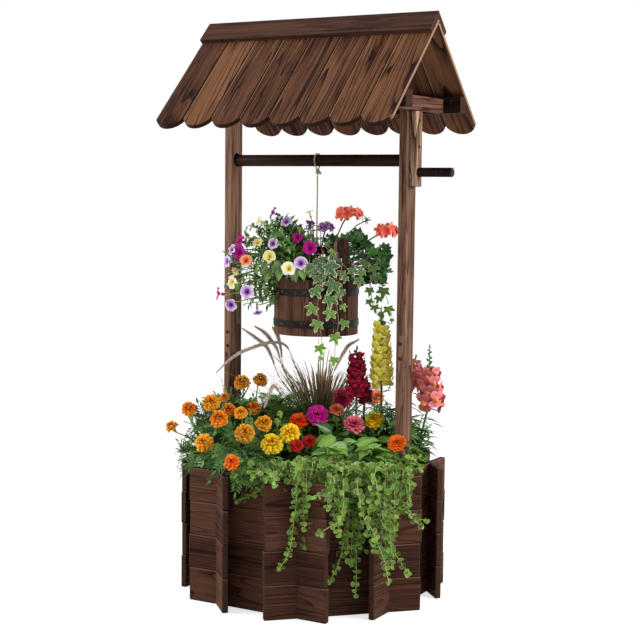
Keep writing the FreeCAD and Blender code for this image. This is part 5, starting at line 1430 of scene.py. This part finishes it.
# Petunias: small funnels of many colours on airy stalks, leaning out over the left rim.
# Flowers: side, height, near, width, colour slot, and the way they look if not at the viewer
petunia = {
    "flowers": [
        (-90, 761, 20, 24, 2, (-0.8, 0.2, 0.4)), (-13, 742, 20, 22, 2, (0.2, 0.3, 0.9)),
        (-39, 711, 35, 22, 3, None), (-14, 690, 72, 30, 3, None),
        (-156, 704, 40, 26, 3, (-0.7, 0.5, 0.4)),
        (-156, 679, 55, 28, 3, (-0.3, 0.8, 0.2)), (-200, 596, 62, 28, 3, (-1, 0.1, 0.1)),
        (-62, 743, 30, 24, 4, (-0.2, 0.6, 0.5)), (-89, 698, 60, 25, 4, (-0.5, 0.8, 0.2)),
        (-32, 660, 92, 30, 4, None), (-172, 685, 45, 24, 4, (-0.8, 0.5, 0.3)),
        (-182, 661, 55, 27, 4, (-0.9, 0.5, 0.1)), (-140, 600, 72, 30, 4, (-0.2, 0.9, 0.1)),
        (-173, 572, 62, 28, 4, (-0.4, 0.8, -0.2)), (-117, 557, 60, 20, 4, (0.2, 0.5, -0.8)),
        (-16, 763, 10, 18, 5, (-0.3, 0.1, 0.9)), (-119, 744, 20, 20, 5, (-0.8, 0.2, 0.3)),
        (-119, 701, 45, 24, 5, (-0.3, 0.6, 0.7)), (-95, 673, 78, 27, 5, None),
        (-56, 649, 95, 31, 6, None), (-172, 619, 60, 30, 6, (-0.8, 0.6, 0.1)),
        (-142, 664, 70, 26, 7, None), (-165, 640, 50, 20, 5, (-0.6, 0.5, -0.3))],
    "stems": 104, "back": 46, "faceWidth": 29,
    "broad": [(-66, 650, 86), (-56, 644, 92), (-44, 642, 97), (-30, 640, 99), (-22, 646, 98),
              (-76, 655, 80), (-48, 640, 96), (-84, 646, 74), (-92, 638, 66), (-14, 652, 96),
              (-72, 640, 84), (-100, 650, 60)],
    "petals": [("petuniaPurple", "#35093f #6d1f7c #8b3a99"),
               ("petuniaMagenta", "#3f0430 #a00c74 #c01a8e", (0, 0.35, 1)),
               ("petuniaLilac", "#35104d #7d4aa0 #c59ad6 #efe0f4", (0, 0.3, 0.6, 1)),
               ("petuniaLemon", "#c49a16 #ead764 #f7efbf", (0, 0.4, 1)),
               ("petuniaCream", "#c08d0e #edd95c #faf3d4 #fdf8ea", (0, 0.35, 0.7, 1)),
               ("petuniaPeach", "#7c260c #d66a34 #f0b088", (0, 0.4, 1))],
}


def funnelShape():
    face = roundShape("petuniaFace",
                      lambda b: 0.0145 * (0.93 + 0.055 * math.cos(5 * b)
                                          + 0.025 * math.sin(12 * b)),
                      lambda b, s: (-0.0085 * max(0.0, 1 - s) ** 2
                                    - 0.0022 * s ** 5 * (1 + math.cos(5 * b))
                                    + 0.001 * s ** 3 * math.sin(10 * b + 1)),
                      30, (0.84, 0.6, 0.34, 0.18))
    flower = newBunch()
    stamp(flower, face, Matrix(), 0.5, -1)
    addTube(flower, [(0, 0, z) for z in (-0.023, -0.018, -0.013, -0.0093)], (0.0013, 0.0038), 7, -1)
    calyx = leafShape("petuniaCalyx", 0.011, 0.0026, pointed, 2)
    for number in range(5):
        out = Vector((math.cos(number * 1.257), math.sin(number * 1.257), 0))
        stamp(flower, calyx, leafPlace(out * 0.0018 - up * 0.025, up + out * 0.4, -out), 0.5, 1)
    return asShape(flower)


def addPetunias():
    luck = random.Random(31)
    flower = funnelShape()
    leaf = leafShape("petuniaLeaf", 0.021, 0.0088, pointed, 3, fold=0.3, droop=0.25)
    broad = leafShape("petuniaBroadLeaf", 0.026, 0.017, pointed, 4, fold=0.2, droop=0.3)
    bunch = newBunch()
    for side, height, near, width, colour, look in petunia["flowers"]:
        tip = seenAt(side, height, near)
        if look:
            facing = across * look[0] + towards * look[1] + up * look[2]
        else:
            facing = towards * 0.85 + up * 0.35 + jitter(luck, 0.15)
        facing.normalize()
        size = width / petunia["faceWidth"]
        route = stalk((tip.x * 0.3 - 0.012, tip.y * 0.3, bucketSoil), tip - facing * 0.025 * size,
                      1.1 if tip.z < 0.66 else 0.6)
        leafyStalk(bunch, luck, route[:-1], (0.0014, 0.001), [leaf], 0.012, 0.85, 1.1, first=0.3,
                   tint=(0.2, 0.9), shrink=0.35)
        addTube(bunch, route[-2:], (0.001, 0.0011), 5, 0, 0.6)
        bloom(bunch, flower, flowerPlace(tip, facing, luck.uniform(0, 6), size), luck.random(),
              colour)
    for number in range(petunia["stems"]):
        share, bearing = sunflower(number, petunia["stems"])
        side = -100 + 88 * share * math.cos(bearing)
        near = 42 + 62 * share * math.sin(bearing)
        height = 640 + 104 * (1 - share ** 2) ** 0.5 + luck.uniform(-16, 10) + 0.25 * (side + 100)
        if side > -82 and near > 40:
            height = max(height, 642)
        if side < -95 and number % 3 == 0:
            height = luck.uniform(572, 640)
        tip = seenAt(side, height, behindHeads(petunia["flowers"], side, height, near, 20))
        root = (max(-0.06, tip.x * 0.35), max(-0.055, min(0.055, tip.y * 0.35)), bucketSoil)
        route = stalk(root, tip, 1.3 if height < 640 else 0.7)
        leafyStalk(bunch, luck, route, (0.0013, 0.0008), [leaf], 0.0085, luck.uniform(0.9, 1.25),
                   1.1, first=0.2, tint=(0.05, 0.9), shrink=0.3)
    for side, height, near in petunia["broad"]:
        along = across * (side + 50) * 0.01 + towards * 0.4 - up * 0.8
        face = towards + up * 0.5 + jitter(luck, 0.3)
        stamp(bunch, broad, leafPlace(seenAt(side, height + 8, near - 8), along, face,
                                      luck.uniform(0.85, 1.1)), luck.uniform(0.2, 0.8), 1)
    for number in range(petunia["back"]):
        tip = seenAt(-75 + 90 * luck.random(), luck.uniform(690, 748), luck.uniform(-70, 20))
        if abs(tip.x) < 0.016 and abs(tip.y) < 0.016:    # where the twine hangs
            continue
        root = (tip.x * 0.35, max(-0.05, min(0.05, tip.y * 0.5)), bucketSoil)
        leafyStalk(bunch, luck, stalk(root, tip), (0.0013, 0.0008), [leaf], 0.0095, 0.95, 1.1,
                   first=0.2, tint=(0.05, 0.9), shrink=0.35)
    plantedWith("petuniaPlants", bunch, [leafMaterial("petuniaLeafGreen")] * 2, petunia["petals"],
                "bucket", "petunias")


# Geraniums: round umbels of coral flowers on stiff stalks over ruffled kidney leaves
# Umbels: side, height, near, radius, colour slot
geranium = {"umbels": [(62, 764, 0, 25, 2), (141, 731, 10, 21, 2), (18, 738, -30, 14, 3)],
            "florets": 17, "bud": (99, 746, 0), "copies": 3,
            "leaves": [(34, 706, -20), (46, 712, -30), (70, 712, -10), (84, 716, 10),
                       (98, 704, -20), (112, 698, 20), (120, 686, 10), (100, 690, 30),
                       (126, 668, 20), (112, 672, 40), (96, 668, 30), (84, 696, -30),
                       (50, 700, -40), (116, 650, 30), (128, 655, 0), (26, 700, -40),
                       (66, 702, -40), (90, 680, -10), (86, 706, -30), (60, 690, -50),
                       (104, 655, 44), (92, 652, 50), (118, 660, -20), (76, 690, -50)],
            "petals": [("geraniumCoral", "#e0402e #ff6650 #ff8f7a", (0, 0.4, 1), 0.15),
                       ("phloxLilac", "#6d2b82 #ac6abe #dcaee2", (0, 0.4, 1))]}


def addGeraniums():
    luck = random.Random(41)
    leaf = roundShape("geraniumLeaf",
                      lambda b: (0.0175 * (0.9 + 0.1 * math.cos(7 * (b + math.pi / 2)))
                                 * (1 - 0.55 * math.exp(-((b + math.pi / 2) * 3.5) ** 2))),
                      lambda b, s: 0.004 * s * s + 0.003 * s * s * math.cos(7 * (b + math.pi / 2)),
                      28, (0.75, 0.4), 0.0115)
    petal = leafShape("geraniumPetal", 0.0118, 0.0094, spoon, 2, droop=0.15)
    floret = asShape(petalRings(petal, [(5, 12, 1.0, 0.0, 0.0005)]))
    bunch = newBunch()
    for side, height, near, radius, colour in geranium["umbels"]:
        middle = seenAt(side, height - 8, near)
        addTube(bunch, stalk((min(0.06, middle.x * 0.5), middle.y * 0.3, bucketSoil), middle, 0.6),
                (0.0017, 0.0015), 6, 0, 0.7)
        for number in range(geranium["florets"]):
            lift = 1 - 1.15 * (number + 0.5) / geranium["florets"]
            flat = math.sqrt(max(0.0, 1 - lift * lift))
            angle = number * leafTurn
            out = Vector((flat * math.cos(angle), flat * math.sin(angle), lift))
            reach = radius / 1000 * luck.uniform(0.78, 1.15)
            spot = middle + Vector((out.x, out.y, out.z * 0.55)) * reach
            addTube(bunch, [middle, spot - out * 0.001], (0.0006, 0.0005), 3, 0, 0.8)
            size = 1.0 if colour == 2 else 0.72
            bloom(bunch, floret, flowerPlace(spot, out + jitter(luck, 0.4), angle, size),
                  luck.random(), colour)
    tip = seenAt(*geranium["bud"])
    addTube(bunch, stalk((0.05, -0.01, bucketSoil), tip, 0.7), (0.0014, 0.0012), 6, 0, 0.7)
    for number in range(14):
        out = jitter(luck, 1.0).normalized()
        addTube(bunch, [tip, tip + out * 0.004, tip + out * 0.009], (0.0016, 0.0004), 5, 0,
                luck.random())
    for side, height, near in geranium["leaves"]:
        for copy in range(geranium["copies"]):
            spot = seenAt(min(side, 118), height - 12 - max(0, side - 84) * 0.25, near)
            spot += jitter(luck, 0.008 * copy)
            addTube(bunch, stalk((min(0.058, spot.x * 0.5), spot.y * 0.4, bucketSoil), spot, 0.7),
                    (0.0012, 0.001), 5, 0, 0.6)
            along = (spot - Vector((0.06, 0, 0.68))).normalized() + jitter(luck, 0.4)
            face = up * 0.8 + towards * 0.5 + jitter(luck, 0.3)
            stamp(bunch, leaf, leafPlace(spot, along, face, luck.uniform(0.75, 1.05)),
                  luck.uniform(0.05, 0.9), 1)
    plantedWith("geraniumPlants", bunch, [leafMaterial("geraniumLeafGreen")] * 2,
                geranium["petals"], "bucket", "geranium")


# Variegated ivy: pointed leaves with cream edges, hanging down the front and the right.
# Leaves: side and height of the middle, how near, width, how fresh the green is
# Lobes: bearing, length and width in degrees
ivy = {"trails": [[(30, 668, 90), (22, 640, 98), (8, 600, 100), (2, 570, 100), (6, 537, 99),
                   (12, 505, 99), (10, 470, 98)],
                  [(50, 662, 92), (45, 620, 98), (42, 575, 99), (45, 540, 99), (40, 500, 98),
                   (38, 464, 97)],
                  [(70, 665, 60), (104, 650, 60), (110, 607, 62), (112, 584, 62), (122, 560, 62),
                   (134, 545, 62), (154, 538, 62)],
                  [(90, 664, 50), (114, 650, 50), (130, 620, 52), (146, 580, 50)],
                  [(10, 690, 66), (22, 688, 72), (40, 670, 82), (66, 644, 90)]],
       "leaves": [(28, 653, 101, 36, 0.1), (4, 630, 103, 27, 0.2), (35, 617, 103, 36, 0.2),
                  (-2, 605, 103, 29, 0.3), (29, 587, 103, 31, 0.3), (-7, 569, 103, 28, 0.8),
                  (29, 560, 104, 27, 0.85), (3, 537, 104, 27, 0.8), (54, 573, 101, 16, 0.7),
                  (57, 540, 101, 23, 0.8), (38, 511, 101, 27, 0.9), (8, 489, 101, 25, 0.95),
                  (11, 468, 100, 13, 1.0), (38, 465, 100, 22, 1.0), (51, 604, 101, 18, 0.4),
                  (72, 646, 90, 22, 0.3), (86, 625, 84, 23, 0.3), (91, 643, 76, 20, 1.0),
                  (114, 652, 66, 25, 0.7), (117, 633, 66, 23, 0.4), (107, 607, 66, 20, 0.4),
                  (135, 606, 58, 28, 0.5), (107, 584, 66, 18, 0.4), (118, 572, 66, 20, 0.5),
                  (146, 569, 58, 24, 0.8), (131, 559, 66, 15, 0.7), (153, 547, 60, 11, 0.9),
                  (136, 541, 66, 11, 0.9), (10, 654, 98, 24, 0.1), (-8, 642, 99, 22, 0.2),
                  (50, 640, 98, 20, 0.2), (58, 630, 97, 16, 0.3), (33, 681, 76, 20, 0.9),
                  (14, 668, 92, 22, 0.2), (4, 662, 96, 22, 0.1), (20, 642, 99, 22, 0.2),
                  (42, 664, 90, 22, 0.1), (-14, 654, 97, 20, 0.2), (98, 660, 66, 22, 0.4),
                  (126, 590, 62, 18, 0.5), (22, 700, 60, 16, 0.6), (46, 596, 100, 17, 0.4)],
       "lobes": [(90, 0.72, 19), (28, 0.52, 18), (152, 0.52, 18), (-24, 0.28, 20), (204, 0.28, 20),
                 (-90, -0.22, 25)], "leafWidth": 32}


def lobed(bearing):
    reach = 0.42
    for centre, length, width in ivy["lobes"]:
        gap = (math.degrees(bearing) - centre + 180) % 360 - 180
        reach += length * math.exp(-(gap / width) ** 2)
    return 0.0205 * reach


def addIvy():
    luck = random.Random(52)
    leaf = roundShape("ivyLeaf", lobed,
                      lambda b, s: 0.0025 * s * s * math.cos(5 * (b - math.pi / 2)) - 0.001 * s,
                      30, (0.8, 0.45), 0.0092)
    bunch = newBunch()
    for index, trail in enumerate(ivy["trails"]):
        root = (0.03 + 0.004 * index, -0.03, bucketSoil)
        addTube(bunch, flowing([root] + [seenAt(*point) for point in trail], 5), (0.0011, 0.0006))
    for side, height, near, width, fresh in ivy["leaves"]:
        size = width / ivy["leafWidth"]
        along = across * luck.uniform(-0.6, 0.6) - up + jitter(luck, 0.15)
        face = towards + up * 0.25 + jitter(luck, 0.2)
        root = seenAt(side, height, near) - along.normalized() * 0.0095 * size
        stamp(bunch, leaf, leafPlace(root, along, face, size),
              min(1.0, fresh + luck.uniform(-0.08, 0.08)), 1)
        stem = [root, root - towards * 0.004 + up * 0.004, root - towards * 0.008 + up * 0.01]
        addTube(bunch, stem, (0.0006, 0.0005), 4, 0, 0.4)
    stem = stemMaterial("ivyStem", 200.0, "#7d5f4c", "#8f8458")
    plantedWith("ivyTrails", bunch, [stem, leafMaterial("ivyLeafGreen")], [], "bucket", "ivy")


addCamera()
addTwine()
finishTub()
finishRoof()
finishTimbers()
finishBucket()
addFasteners()
addSoil()
addMarigolds()
addZinnias()
addGrass()
addSnapdragons()
addJenny()
addPetunias()
addGeraniums()
addIvy()
addStudio()
